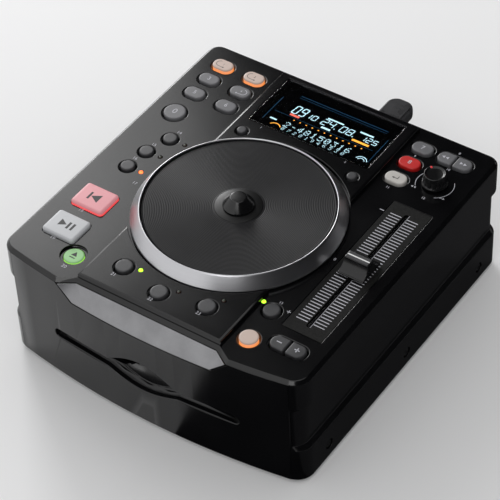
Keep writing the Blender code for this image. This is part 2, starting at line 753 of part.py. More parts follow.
def fader_cap(material):
    """Cap with a flat ridge and hollowed slopes, front and back, pressed over the stem."""
    low = Z_DECK + FADER_CAP_LIFT
    top = low + FADER_CAP_H
    half = FADER_CAP_L / 2
    ridge = FADER_CAP_TOP_L / 2
    side = []
    for step in range(FADER_CAP_STEPS + 1):
        angle = math.pi / 2 * step / FADER_CAP_STEPS
        side.append((half - (half - ridge) * math.sin(angle),
                     top - (FADER_CAP_H - FADER_CAP_FOOT) * math.cos(angle)))
    profile = [(-half, low), (half, low)] + side + [(-y, z) for y, z in reversed(side)]
    bm = bmesh.new()
    left = FADER_X - FADER_CAP_W / 2
    base = bm.faces.new([bm.verts.new((left, PLATTER_Y + y, z)) for y, z in profile])
    grown = bmesh.ops.extrude_face_region(bm, geom=[base])
    verts = [part for part in grown["geom"] if isinstance(part, bmesh.types.BMVert)]
    bmesh.ops.translate(bm, verts=verts, vec=RIGHT * FADER_CAP_W)
    piece = make("fader_cap", bm, material, (FADER_X, PLATTER_Y, Z_DECK))
    bm = bmesh.new()
    box(bm, (FADER_X - STEM_W / 2 - GAP, PLATTER_Y - STEM_L / 2 - GAP, low - OVERRUN),
        (FADER_X + STEM_W / 2 + GAP, PLATTER_Y + STEM_L / 2 + GAP, Z_DECK + STEM_TOP + GAP))
    cut(piece, bm, "fader_cap_socket")
    return piece


# Platter

PLATTER_SIDES = 42
PLATTER_WEB_T = 1.6 * MM
RIM_T = 1.6 * MM
HUB_BORE = 3.2 * MM
PLATTER_FACE_DROP = 1.0 * MM
PLATTER_GROOVE_W = 1.6 * MM
PLATTER_GROOVE_D = 0.5 * MM
GROOVE_SHARES = (0.84, 0.56)
LABEL_R = 14.4 * MM
LABEL_RISE = 0.4 * MM
CONE_R = 10.0 * MM
CONE_TOP_R = 5.3 * MM
CONE_H = 6.7 * MM
CONE_SKIRT = 0.8 * MM
CONE_SIDES = 24
BEARING_R = 8.0 * MM
ENCODER_DISC_R = 17.0 * MM
ENCODER_DISC_T = 1.4 * MM
ENCODER_DISC_CLEAR = 8.9 * MM
Z_PLATTER = Z_DECK + PLATTER_HOVER
PLATTER_TOP = Z_PLATTER + PLATTER_H
PLATTER_FACE = PLATTER_TOP - PLATTER_FACE_DROP
WEB_TOP = Z_PLATTER + PLATTER_WEB_T


def bearing_end():
    """Height at which the bearing tube ends, with the encoder disc under it clear of the clamp."""
    return CLAMP_TOP + ENCODER_DISC_CLEAR + ENCODER_DISC_T + GAP


def platter_ring(material):
    """Turned ring with a sloped bright flank, a lip, and the web that carries the face."""
    inner = PLATTER_LIP_R - RIM_T
    edge = RIM_T / 2
    profile = [(HUB_BORE, Z_PLATTER), (PLATTER_R - edge, Z_PLATTER), (PLATTER_R, Z_PLATTER + edge),
               (PLATTER_R, Z_PLATTER + RIM_T), (PLATTER_LIP_R, PLATTER_TOP - edge),
               (PLATTER_LIP_R - edge, PLATTER_TOP), (inner, PLATTER_TOP - edge),
               (inner, WEB_TOP), (HUB_BORE, WEB_TOP)]
    bm = bmesh.new()
    turned(bm, profile, (0, PLATTER_Y, 0), PLATTER_SIDES, closed=True)
    return make("platter_ring", bm, material, (0, PLATTER_Y, Z_PLATTER))


def platter_disc(material):
    """Grooved face of the platter, with a flat label in the middle and a hole for the cone's stub."""
    outer = PLATTER_LIP_R - RIM_T - GAP
    profile = [(HUB_BORE, WEB_TOP + GAP), (outer, WEB_TOP + GAP), (outer, PLATTER_FACE - PLATTER_GROOVE_D),
               (outer - PLATTER_GROOVE_D, PLATTER_FACE)]
    for share in GROOVE_SHARES:
        radius = outer * share
        profile += [(radius + PLATTER_GROOVE_W / 2, PLATTER_FACE), (radius, PLATTER_FACE - PLATTER_GROOVE_D),
                    (radius - PLATTER_GROOVE_W / 2, PLATTER_FACE)]
    profile += [(LABEL_R + LABEL_RISE, PLATTER_FACE), (LABEL_R, PLATTER_FACE + LABEL_RISE),
                (HUB_BORE, PLATTER_FACE + LABEL_RISE)]
    bm = bmesh.new()
    turned(bm, profile, (0, PLATTER_Y, 0), PLATTER_SIDES, closed=True)
    return make("platter_disc", bm, material, (0, PLATTER_Y, Z_PLATTER))


def platter_cone(material):
    """Centre cone with a straight flank and a flat top."""
    low = PLATTER_FACE + LABEL_RISE + GAP
    top = low + CONE_H
    profile = [(0, low), (CONE_R, low), (CONE_R, low + CONE_SKIRT), (CONE_TOP_R, top - CAP_BEVEL),
               (CONE_TOP_R - CAP_BEVEL, top), (0, top)]
    bm = bmesh.new()
    turned(bm, profile, (0, PLATTER_Y, 0), CONE_SIDES)
    return make("platter_cone", bm, material, (0, PLATTER_Y, low))


def platter_shaft(material):
    """Spindle through the bearing tube, with the encoder disc that keeps it from lifting out."""
    radius = HUB_BORE - GAP
    disc_top = bearing_end() - GAP
    profile = [(0, disc_top - ENCODER_DISC_T), (ENCODER_DISC_R, disc_top - ENCODER_DISC_T),
               (ENCODER_DISC_R, disc_top), (radius, disc_top), (radius, PLATTER_FACE), (0, PLATTER_FACE)]
    bm = bmesh.new()
    turned(bm, profile, (0, PLATTER_Y, 0), ENCODER_SIDES)
    return make("platter_shaft", bm, material, (0, PLATTER_Y, Z_PLATTER))


# Display

WINDOW_R = 1.2 * MM
MODULE_W = 84.0 * MM
MODULE_D = 41.0 * MM


def display_window(material):
    """Clear acrylic pane let into the island."""
    bm = bmesh.new()
    points = rounded((0, WINDOW_Y), WINDOW_W - 2 * GAP, WINDOW_D - 2 * GAP, WINDOW_R, WINDOW_R)
    prism(bm, points, Z_ISLAND - WINDOW_T, Z_ISLAND)
    return make("display_window", bm, material)


def window_pocket():
    """Pocket for the pane."""
    bm = bmesh.new()
    points = rounded((0, WINDOW_Y), WINDOW_W, WINDOW_D, WINDOW_R, WINDOW_R)
    prism(bm, points, Z_ISLAND - WINDOW_T - GAP, Z_ISLAND + OVERRUN)
    return bm


def module_opening():
    """Opening under the pane through which the display shows."""
    bm = bmesh.new()
    half_w = MODULE_W / 2 + GAP
    half_d = MODULE_D / 2 + GAP
    box(bm, (-half_w, WINDOW_Y - half_d, Z_UNDER - OVERRUN),
        (half_w, WINDOW_Y + half_d, Z_ISLAND - WINDOW_T))
    return bm


def display_module(material):
    """Fluorescent display standing on the key board just under the pane."""
    bm = bmesh.new()
    box(bm, (-MODULE_W / 2, WINDOW_Y - MODULE_D / 2, Z_BOARD + GAP),
        (MODULE_W / 2, WINDOW_Y + MODULE_D / 2, Z_ISLAND - WINDOW_T - 2 * GAP))
    return make("display_module", bm, material)


# Upper housing

POST_R = 2.6 * MM
POST_SIDES = 6
POST_MARGIN = 5.0 * MM
REAR_OPEN_HALF = 92.0 * MM
REAR_OPEN_DROP = 10.7 * MM
REAR_OPEN_TOP = Z_UNDER - REAR_OPEN_DROP
SCREW_POCKET_R = 3.6 * MM
SCREW_POCKET_D = 1.4 * MM
SCREW_SHANK_R = 1.4 * MM
SCREW_UP = 10.0 * MM
SCREW_Z = Z_BASE + SCREW_UP
SCREW_SHARES = (0.157, 0.527, 0.896)
SCREW_SIDES = 8


def case_shell(bm):
    """Moulded shell open below: chamfered deck, hollowed side walls, rounded corners."""
    band = Z_BASE + BAND_H
    lip = Z_DECK - CHAMFER - LIP_H
    outer = [
        level(case_outline(0.0, CHAMFER), Z_DECK),
        level(case_outline(), Z_DECK - CHAMFER),
        level(case_outline(), lip),
        level(case_outline(SIDE_INSET), lip - SIDE_RAMP),
        level(case_outline(SIDE_INSET), band + SIDE_RAMP),
        level(case_outline(), band),
        level(case_outline(), Z_BASE),
    ]
    inner = [
        level(case_outline(0.0, WALL), Z_BASE),
        level(case_outline(0.0, WALL), band - WALL),
        level(case_outline(SIDE_INSET, WALL), band + SIDE_RAMP - WALL),
        level(case_outline(SIDE_INSET, WALL), Z_UNDER),
    ]
    skin(bm, outer + inner)


def island(bm):
    """Raised centre of the deck with chamfered edges, rooted in the deck."""
    def outline(inward):
        half = ISLAND_HALF - inward
        front = Y_FRONT + ISLAND_FRONT + inward
        rear = Y_REAR - REAR_LEDGE - inward
        return [(-half, front), (half, front), (half, rear), (-half, rear)]
    skin(bm, [level(outline(0.0), Z_DECK - ROOT), level(outline(0.0), Z_ISLAND - ISLAND_CHAMFER),
              level(outline(ISLAND_CHAMFER), Z_ISLAND)])


def board_posts():
    """Places of the posts that carry the key board."""
    x = HALF_W - SIDE_INSET - WALL - POST_MARGIN
    front = Y_FRONT + BOW + WALL + POST_MARGIN + POST_R
    rear = Y_REAR - WALL - POST_MARGIN
    middle = PLATTER_Y
    inner = ISLAND_HALF + POST_R
    return [(-x, front), (x, front), (-x, rear), (x, rear), (-inner, middle), (inner, middle)]


def side_screws():
    """Centre and outward direction of each case screw on the side walls."""
    return [(Vector((side * HALF_W, Y_FRONT + share * CASE_D, SCREW_Z)), RIGHT * side)
            for side in (-1, 1) for share in SCREW_SHARES]


def upper_housing(material, caps):
    """The case moulding: shell, raised island round the platter's well, bearing tube, posts and
    every opening of the deck."""
    bm = bmesh.new()
    case_shell(bm)
    piece = make("upper_housing", bm, material)

    bm = bmesh.new()
    island(bm)
    raised = add(piece, bm, "island")
    bm = bmesh.new()
    rod(bm, (0, PLATTER_Y, Z_DECK - ROOT - OVERRUN), UP, ISLAND_RISE + ROOT + 2 * OVERRUN, WELL_R, PLATTER_SIDES)
    cut(raised, bm, "well")

    bm = bmesh.new()
    rod(bm, (0, PLATTER_Y, bearing_end()), UP, Z_UNDER - bearing_end() + ROOT, BEARING_R, ENCODER_SIDES)
    for x, y in board_posts():
        rod(bm, (x, y, Z_BOARD + GAP), UP, Z_UNDER - Z_BOARD - GAP + ROOT, POST_R, POST_SIDES)
    add(piece, bm, "bearing_and_posts")

    bm = bmesh.new()
    wide = BEZEL_HALF + GAP
    deep = Y_FRONT + BOW + WALL + OVERRUN
    box(bm, (-wide, Y_FRONT - OVERRUN, Z_BASE - OVERRUN), (wide, deep, Z_DECK - CHAMFER))
    cut(piece, bm, "front_opening")
    bm = bmesh.new()
    box(bm, (-REAR_OPEN_HALF, Y_REAR - WALL - OVERRUN, Z_BASE - OVERRUN),
        (REAR_OPEN_HALF, Y_REAR + OVERRUN, REAR_OPEN_TOP))
    cut(piece, bm, "rear_opening")
    bm = bmesh.new()
    skin(bm, [level(notch_outline(0.0), Z_DECK - CHAMFER - OVERRUN), level(notch_outline(0.0), Z_DECK - CHAMFER),
              level(notch_outline(CHAMFER + OVERRUN), Z_DECK + OVERRUN)])
    cut(piece, bm, "plate_notch")

    cut(piece, button_holes(caps), "button_holes")
    bm = lamp_holes()
    rod(bm, (0, PLATTER_Y, bearing_end() - OVERRUN), UP, Z_DECK - bearing_end() + 2 * OVERRUN,
        HUB_BORE, ENCODER_SIDES)
    rod(bm, (*KNOB_PLACE, Z_UNDER - OVERRUN), UP, DECK_T + 2 * OVERRUN, BUSHING_R + CAP_GAP, ENCODER_SIDES)
    cut(piece, bm, "lamp_and_shaft_holes")
    bm = fader_pocket()
    eject = next(facts for facts in caps if facts["name"] == "eject_button")
    rod(bm, (*eject["place"], Z_DECK - EJECT_WELL_D), UP, EJECT_WELL_D + OVERRUN, EJECT_WELL_DIA / 2, ENCODER_SIDES)
    cut(piece, bm, "deck_pockets")
    cut(piece, window_pocket(), "window_pocket")
    bm = fader_opening()
    cut(piece, bm, "fader_opening")
    cut(piece, module_opening(), "module_opening")

    bm = bmesh.new()
    for centre, out in side_screws():
        rod(bm, centre + out * OVERRUN, -out, SCREW_POCKET_D + OVERRUN, SCREW_POCKET_R, SCREW_SIDES)
    cut(piece, bm, "screw_pockets")
    bm = bmesh.new()
    for centre, out in side_screws():
        rod(bm, centre, -out, WALL + OVERRUN, SCREW_SHANK_R + GAP, SCREW_SIDES)
    cut(piece, bm, "screw_holes")
    return piece


# Front bezel with the disc slot

SCOOP_HALF = 25.5 * MM
SCOOP_UP = 10.4 * MM
SCOOP_DOWN = 6.1 * MM
SCOOP_STEPS = 6
SLOT_END_STEPS = 4
THROAT_WALL = 3.0 * MM
FLANGE_L = 9.0 * MM
BOWL_DEPTH_SHARES = (0.0, 0.35, 0.65, 0.88, 0.97)
BOWL_WIDTH_SHARES = (0.95, 0.86, 0.66, 0.38, 0.16)


def slot_mouth(scoop):
    """Outline of the slot in the X-Z plane, clockwise seen from the front: round ends, with the
    finger scoop's arcs above and below the middle."""
    half_h = SLOT_H / 2
    straight = SLOT_HALF_W - half_h
    points = []
    for step in range(SLOT_END_STEPS + 1):
        angle = math.pi / 2 + math.pi * step / SLOT_END_STEPS
        points.append((-straight + half_h * math.cos(angle), SLOT_Z + half_h * math.sin(angle)))
    for step in range(scoop * SCOOP_STEPS + 1):
        share = 2 * step / (scoop * SCOOP_STEPS) - 1 if scoop else 0.0
        points.append((share * SCOOP_HALF, SLOT_Z - half_h - scoop * SCOOP_DOWN * math.cos(math.pi / 2 * share)))
    for step in range(SLOT_END_STEPS + 1):
        angle = -math.pi / 2 + math.pi * step / SLOT_END_STEPS
        points.append((straight + half_h * math.cos(angle), SLOT_Z + half_h * math.sin(angle)))
    for step in range(scoop * SCOOP_STEPS + 1):
        share = 1 - 2 * step / (scoop * SCOOP_STEPS) if scoop else 0.0
        points.append((share * SCOOP_HALF, SLOT_Z + half_h + scoop * SCOOP_UP * math.cos(math.pi / 2 * share)))
    return points


def bowl_loops():
    """Loops of the hollow behind the scoop, narrowing with depth."""
    loops = []
    start = Y_FRONT + WALL
    for depth_share, width_share in zip(BOWL_DEPTH_SHARES, BOWL_WIDTH_SHARES):
        y = start + depth_share * THROAT_D
        points = []
        for side in (-1, 1):
            rise = SLOT_H / 2 + (SCOOP_DOWN if side < 0 else SCOOP_UP)
            for step in range(SCOOP_STEPS):
                share = -side * (1 - 2 * step / SCOOP_STEPS)
                points.append((share * SCOOP_HALF * width_share, y,
                               SLOT_Z + side * rise * width_share * math.cos(math.pi / 2 * share)))
        loops.append(points)
    first = [(x, Y_FRONT + WALL - OVERRUN, z) for x, y, z in loops[0]]
    return [first] + loops


def front_bezel(material):
    """Bowed front panel with the slot, its finger scoop, the throat that guides the disc, the
    sloped seat of the name plate and two side flanges."""
    bm = bmesh.new()
    steps = 2 * BOW_STEPS
    xs = [BEZEL_HALF * (2 * step / steps - 1) for step in range(steps + 1)]
    outer = [(x, front_y(x)) for x in xs]
    inner = [(x, front_y(x) + WALL) for x in reversed(xs)]
    prism(bm, outer + inner, Z_BASE, BEZEL_TOP)
    piece = make("front_bezel", bm, material)

    bm = bmesh.new()
    throat_half = SLOT_HALF_W + THROAT_WALL
    throat_low = SLOT_Z - SLOT_H / 2 - SCOOP_DOWN - THROAT_WALL
    throat_high = SLOT_Z + SLOT_H / 2 + SCOOP_UP + THROAT_WALL
    back = Y_FRONT + WALL + THROAT_D
    corner = front_y(throat_half) + WALL - ROOT
    points = [(throat_half, corner), (throat_half, back), (-throat_half, back), (-throat_half, corner)]
    for step in range(BOW_STEPS + 1):
        x = throat_half * (2 * step / BOW_STEPS - 1)
        points.append((x, front_y(x) + WALL - ROOT))
    prism(bm, points[1:3] + points[4:], throat_low, throat_high)
    add(piece, bm, "throat")

    bm = bmesh.new()
    for side in (-1, 1):
        far = side * BEZEL_HALF
        near = side * (BEZEL_HALF - WALL)
        start = front_y(BEZEL_HALF - WALL) + WALL - ROOT
        box(bm, (min(far, near), start, Z_BASE + FLOOR_T + 2 * GAP),
            (max(far, near), start + FLANGE_L, Z_BOARD - BOARD_T - WALL))
    add(piece, bm, "side_flanges")

    bm = bmesh.new()
    plate_slab(bm, -PLATE_T, PLATE_T + PLATE_SEAT_T, 0.0)
    add(piece, bm, "plate_seat")
    bm = bmesh.new()
    plate_slab(bm, PLATE_SETBACK, PLATE_T + GAP, GAP)
    cut(piece, bm, "plate_recess")

    bm = bmesh.new()
    mouth = [(x, Y_FRONT - OVERRUN, z) for x, z in slot_mouth(1)]
    depth = BOW * (SLOT_HALF_W / HALF_W) ** 2 + WALL + OVERRUN
    skin(bm, [mouth, [(x, y + depth, z) for x, y, z in mouth]])
    cut(piece, bm, "slot_mouth")
    bm = bmesh.new()
    skin(bm, bowl_loops())
    cut(piece, bm, "finger_scoop")
    bm = bmesh.new()
    box(bm, (-THROAT_HALF_W, Y_FRONT, SLOT_Z - THROAT_H / 2),
        (THROAT_HALF_W, back + OVERRUN, SLOT_Z + THROAT_H / 2))
    cut(piece, bm, "throat_slot")
    return piece


# Bottom plate and feet

FLOOR_T = 1.2 * MM
SIDE_FLANGE_H = 19.0 * MM
FOOT_R = 8.0 * MM
FOOT_STUD_R = 2.4 * MM
FOOT_INSET = 30.0 * MM
FOOT_SIDES = 8
BOARD_LIFT = 7.0 * MM
SCREW_L = 6.0 * MM


def foot_places():
    """Four corners under the case."""
    x = HALF_W - FOOT_INSET
    return [(side * x, y) for side in (-1, 1)
            for y in (Y_FRONT + BOW + FOOT_INSET, Y_REAR - FOOT_INSET)]


def main_board_posts():
    """Corner places of the main board's pressed posts."""
    return [(side * (MAIN_BOARD_HALF - POST_MARGIN), y) for side in (-1, 1)
            for y in (MAIN_BOARD_FRONT + POST_MARGIN, MAIN_BOARD_REAR - POST_MARGIN)]


def bottom_plate(material):
    """Steel floor with turned-up sides behind the case's lower band, and pressed posts."""
    bm = bmesh.new()
    prism(bm, case_outline(0.0, WALL + GAP), Z_BASE, Z_BASE + FLOOR_T)
    piece = make("bottom_plate", bm, material)
    bm = bmesh.new()
    for side in (-1, 1):
        outer = side * (HALF_W - WALL - GAP)
        inner = outer - side * FLOOR_T
        box(bm, (min(outer, inner), Y_FRONT + BOW + CORNER_R, Z_BASE + FLOOR_T - ROOT),
            (max(outer, inner), Y_REAR - REAR_CORNER_R, Z_BASE + SIDE_FLANGE_H))
    for x, y in main_board_posts():
        rod(bm, (x, y, Z_BASE + FLOOR_T - ROOT), UP, BOARD_LIFT + ROOT - GAP, POST_R, POST_SIDES)
    add(piece, bm, "flanges_and_posts")
    bm = bmesh.new()
    for x, y in foot_places():
        rod(bm, (x, y, Z_BASE - OVERRUN), UP, FLOOR_T + 2 * OVERRUN, FOOT_STUD_R + GAP, FOOT_SIDES)
    for x, y in loader_feet():
        rod(bm, (x, y, Z_BASE - OVERRUN), UP, FLOOR_T + 2 * OVERRUN, SCREW_SHANK_R + GAP, SCREW_SIDES)
    for centre, out in side_screws():
        rod(bm, centre, -out, WALL + 2 * OVERRUN, SCREW_SHANK_R + GAP, SCREW_SIDES)
    cut(piece, bm, "floor_holes")
    return piece


def rubber_feet(material):
    """Four feet pressed into the floor by their studs."""
    names = ("foot_front_left", "foot_rear_left", "foot_front_right", "foot_rear_right")
    stud_top = Z_BASE + FLOOR_T + FLOOR_T
    for name, (x, y) in zip(names, foot_places()):
        bm = bmesh.new()
        turned(bm, [(0, 0), (FOOT_R - GAP * 2, 0), (FOOT_R, FOOT_H - GAP), (FOOT_STUD_R, FOOT_H - GAP),
                    (FOOT_STUD_R, stud_top), (0, stud_top)], (x, y, 0), FOOT_SIDES)
        make(name, bm, material, (x, y, 0))


# Rear panel with its sockets

PANEL_T = 1.2 * MM
PANEL_LAP = 3.5 * MM
PANEL_Y = Y_REAR - WALL - GAP - PANEL_T
JACK_R = 4.2 * MM
JACK_BORE = 1.7 * MM
JACK_OUT = 8.5 * MM
JACK_FLANGE_R = 6.0 * MM
JACK_FLANGE_T = 1.6 * MM
JACK_SIDES = 8
JACK_COLUMN = 15.0 * MM
JACK_PITCH = 15.5 * MM
JACK_UP = 26.0 * MM
JACK_LOW = Z_BASE + JACK_UP
PORT_W = 14.4 * MM
PORT_H = 7.2 * MM
PORT_D = 16.0 * MM
PORT_WALL = 0.8 * MM
STICK_X = 17.0 * MM
STICK_DROP = 10.0 * MM
STICK_Z = REAR_OPEN_TOP - STICK_DROP
PORT_PITCH = 27.0 * MM
RISER_T = 1.6 * MM
RISER_W = 82.0 * MM
RISER_X = 18.0 * MM
INLET_X = -52.0 * MM
INLET_UP = 24.0 * MM
INLET_Z = Z_BASE + INLET_UP
INLET_W = 20.0 * MM
INLET_H = 13.0 * MM
INLET_WALL = 1.7 * MM
INLET_D = 16.0 * MM
INLET_FLANGE = 3.0 * MM
INLET_FLANGE_T = 1.6 * MM
PIN_R = 1.2 * MM
PIN_X = 4.3 * MM
PIN_L = 9.0 * MM
POWER_X = -78.0 * MM
POWER_DROP = 16.0 * MM
POWER_Z = REAR_OPEN_TOP - POWER_DROP
POWER_W = 10.0 * MM
POWER_H = 8.0 * MM
POWER_OUT = 5.0 * MM
POWER_TRAVEL = 2.5 * MM
POWER_BODY_W = 16.0 * MM
POWER_BODY_D = 20.0 * MM
POWER_DEPTH = 6.0 * MM


def jack_places():
    """Centres of the phono and remote jacks on the rear panel, in two columns."""
    pairs = [(-column * JACK_COLUMN, JACK_LOW + row * JACK_PITCH) for column in range(2) for row in range(2)]
    return pairs + [(2 * JACK_COLUMN, JACK_LOW)]


def port_places():
    """Centres of the two data ports: the memory stick sits in the first."""
    return [(STICK_X, STICK_Z), (STICK_X + PORT_PITCH, STICK_Z)]


def rear_panel(material):
    """Steel panel behind the case's rear opening, punched for its sockets."""
    bm = bmesh.new()
    half = REAR_OPEN_HALF + PANEL_LAP
    low = Z_BASE + FLOOR_T + GAP
    box(bm, (-half, PANEL_Y, low), (half, PANEL_Y + PANEL_T, REAR_OPEN_TOP + PANEL_LAP))
    piece = make("rear_panel", bm, material)
    bm = bmesh.new()
    near = PANEL_Y - OVERRUN
    far = PANEL_Y + PANEL_T + OVERRUN
    for x, z in jack_places():
        rod(bm, (x, near, z), BACK, far - near, JACK_R + GAP, JACK_SIDES)
    for x, z in port_places():
        box(bm, (x - PORT_W / 2 - GAP, near, z - PORT_H / 2 - GAP), (x + PORT_W / 2 + GAP, far, z + PORT_H / 2 + GAP))
    box(bm, (INLET_X - INLET_W / 2 - GAP, near, INLET_Z - INLET_H / 2 - GAP),
        (INLET_X + INLET_W / 2 + GAP, far, INLET_Z + INLET_H / 2 + GAP))
    box(bm, (POWER_X - POWER_W / 2 - CAP_GAP, near, POWER_Z - POWER_H / 2 - CAP_GAP),
        (POWER_X + POWER_W / 2 + CAP_GAP, far, POWER_Z + POWER_H / 2 + CAP_GAP))
    cut(piece, bm, "panel_punch")
    return piece


def rear_sockets(material):
    """Riser board behind the panel with phono jacks, a remote jack and two data ports."""
    bm = bmesh.new()
    front = PANEL_Y - GAP - PORT_D
    low = Z_MAIN + GAP
    box(bm, (RISER_X - RISER_W / 2, front - RISER_T, low),
        (RISER_X + RISER_W / 2, front, STICK_Z + PORT_H))
    piece = make("rear_sockets", bm, material)
    bm = bmesh.new()
    for x, z in jack_places():
        turned(bm, [(0, -PORT_D - ROOT), (JACK_FLANGE_R, -PORT_D - ROOT), (JACK_FLANGE_R, 0), (JACK_R, 0),
                    (JACK_R, PANEL_T + JACK_OUT), (JACK_BORE, PANEL_T + JACK_OUT), (JACK_BORE, 0), (0, 0)],
               (x, PANEL_Y - GAP, z), JACK_SIDES, direction=BACK)
    for x, z in port_places():
        box(bm, (x - PORT_W / 2, front - ROOT, z - PORT_H / 2),
            (x + PORT_W / 2, PANEL_Y + PANEL_T + GAP, z + PORT_H / 2))
    add(piece, bm, "jacks_and_ports")
    bm = bmesh.new()
    for x, z in port_places():
        box(bm, (x - PORT_W / 2 + PORT_WALL, front + PORT_WALL, z - PORT_H / 2 + PORT_WALL),
            (x + PORT_W / 2 - PORT_WALL, PANEL_Y + PANEL_T + OVERRUN, z + PORT_H / 2 - PORT_WALL))
    cut(piece, bm, "port_cavities")
    return piece


def mains_inlet(material):
    """Two-pin inlet: a socket in the rear panel with its flange outside."""
    bm = bmesh.new()
    half_w = INLET_W / 2
    half_h = INLET_H / 2
    face = PANEL_Y + PANEL_T + GAP
    box(bm, (INLET_X - half_w, face - INLET_D, INLET_Z - half_h),
        (INLET_X + half_w, face + INLET_FLANGE_T / 2, INLET_Z + half_h))
    piece = make("mains_inlet", bm, material)
    bm = bmesh.new()
    box(bm, (INLET_X - half_w - INLET_FLANGE, face, INLET_Z - half_h - INLET_FLANGE / 2),
        (INLET_X + half_w + INLET_FLANGE, face + INLET_FLANGE_T, INLET_Z + half_h + INLET_FLANGE / 2))
    add(piece, bm, "inlet_flange")
    bm = bmesh.new()
    cavity_w = INLET_W - 2 * INLET_WALL
    cavity_h = INLET_H - 2 * INLET_WALL
    floor = face - INLET_D + INLET_WALL
    points = rounded((INLET_X, INLET_Z), cavity_w, cavity_h, cavity_h / 2, cavity_h / 2)
    base = [(x, floor, z) for x, z in points]
    skin(bm, [base, [(x, face + INLET_FLANGE_T + OVERRUN, z) for x, y, z in base]])
    cut(piece, bm, "inlet_cavity")
    bm = bmesh.new()
    for side in (-1, 1):
        rod(bm, (INLET_X + side * PIN_X, floor - ROOT, INLET_Z), BACK, PIN_L + ROOT, PIN_R, POST_SIDES)
    add(piece, bm, "inlet_pins")
    return piece


def power_button(material):
    """Push-push power button in the rear panel, with a collar behind it."""
    bm = bmesh.new()
    inner = PANEL_Y - GAP
    box(bm, (POWER_X - POWER_W / 2, inner - POWER_DEPTH, POWER_Z - POWER_H / 2),
        (POWER_X + POWER_W / 2, PANEL_Y + PANEL_T + POWER_OUT, POWER_Z + POWER_H / 2))
    piece = make("power_button", bm, material, (POWER_X, PANEL_Y, POWER_Z))
    bm = bmesh.new()
    box(bm, (POWER_X - POWER_W / 2 - FLANGE_OUT, inner - FLANGE_T, POWER_Z - POWER_H / 2 - FLANGE_OUT),
        (POWER_X + POWER_W / 2 + FLANGE_OUT, inner, POWER_Z + POWER_H / 2 + FLANGE_OUT))
    add(piece, bm, "power_collar")
    return piece


# Memory stick

STICK_W = 19.0 * MM
STICK_H = 8.0 * MM
STICK_END_R = 7.5 * MM
PLUG_L = 11.0 * MM


def memory_stick(material):
    """Stick pushed into the first data port, with a rounded free end."""
    start = PANEL_Y + PANEL_T + 2 * GAP
    end = Y_REAR + STICK_OUT
    bm = bmesh.new()
    points = rounded((STICK_X, (start + end) / 2), STICK_W, end - start, STICK_END_R, STICK_END_R)
    square = [(x, max(y, start)) if y > (start + end) / 2 else
              (STICK_X + math.copysign(STICK_W / 2, x - STICK_X), start) for x, y in points]
    outline = [point for index, point in enumerate(square) if point != square[index - 1]]
    edge = STICK_H / 6
    inner = [(STICK_X + (x - STICK_X) * (1 - 2 * edge / STICK_W), y if y == start else y - edge) for x, y in outline]
    low = STICK_Z - STICK_H / 2
    high = STICK_Z + STICK_H / 2
    skin(bm, [level(inner, low), level(outline, low + edge), level(outline, high - edge), level(inner, high)])
    piece = make("memory_stick", bm, material, (STICK_X, start, STICK_Z))
    bm = bmesh.new()
    half_w = PORT_W / 2 - PORT_WALL - GAP
    half_h = PORT_H / 2 - PORT_WALL - GAP
    box(bm, (STICK_X - half_w, start - PLUG_L, STICK_Z - half_h), (STICK_X + half_w, start + ROOT, STICK_Z + half_h))
    add(piece, bm, "stick_plug")
    return piece


# Boards inside

Z_MAIN = Z_BASE + FLOOR_T + BOARD_LIFT + BOARD_T
SWITCH_FRONT = PANEL_Y - GAP - POWER_DEPTH - POWER_TRAVEL - GAP - POWER_BODY_D
SUPPLY_W = 46.0 * MM
SUPPLY_D = 34.0 * MM
SUPPLY_H = 27.0 * MM
SUPPLY_CLEAR = 9.2 * MM
SUPPLY_Y = SWITCH_FRONT - SUPPLY_CLEAR - SUPPLY_D
MAIN_BOARD_HALF = 88.0 * MM
MAIN_BOARD_REAR = PANEL_Y - GAP
MAIN_BOARD_FRONT = SUPPLY_Y - POST_MARGIN * 2
CAN_R = 6.0 * MM
CAN_H = 20.0 * MM
CHIP_W = 22.0 * MM
CHIP_PITCH = 31.0 * MM
CHIP_T = 2.4 * MM
KEY_BOARD_MARGIN = 2.0 * MM


def key_board(material, caps):
    """Circuit board under the deck with a tact switch below every button, the lamps and the
    encoder, cut out round the platter's bearing and the fader."""
    bm = bmesh.new()
    half = HALF_W - SIDE_INSET - WALL - KEY_BOARD_MARGIN
    front = Y_FRONT + BOW + WALL + OVERRUN + KEY_BOARD_MARGIN
    rear = Y_REAR - WALL - KEY_BOARD_MARGIN
    box(bm, (-half, front, Z_BOARD - BOARD_T), (half, rear, Z_BOARD))
    piece = make("key_board", bm, material)
    bm = bmesh.new()
    for facts in caps:
        x, y = facts["place"]
        y = max(y, front + SWITCH_W / 2)
        box(bm, (x - SWITCH_W / 2, y - SWITCH_W / 2, Z_BOARD - ROOT),
            (x + SWITCH_W / 2, y + SWITCH_W / 2, Z_BOARD + SWITCH_H))
    lamps(bm)
    encoder_block(bm)
    add(piece, bm, "switches_and_lamps")
    bm = bmesh.new()
    encoder_bushing(bm)
    add(piece, bm, "encoder_bushing")
    bm = bmesh.new()
    encoder_bore(bm)
    rod(bm, (0, PLATTER_Y, Z_BOARD - BOARD_T - OVERRUN), UP, BOARD_T + 2 * OVERRUN,
        BEARING_R + GAP, ENCODER_SIDES)
    margin = 2 * GAP
    box(bm, (FADER_X - FADER_BODY_W / 2 - margin, PLATTER_Y - FADER_BODY_L / 2 - margin, Z_BOARD - BOARD_T - OVERRUN),
        (FADER_X + FADER_BODY_W / 2 + margin, PLATTER_Y + FADER_BODY_L / 2 + margin, Z_BOARD + OVERRUN))
    cut(piece, bm, "board_cutouts")
    return piece


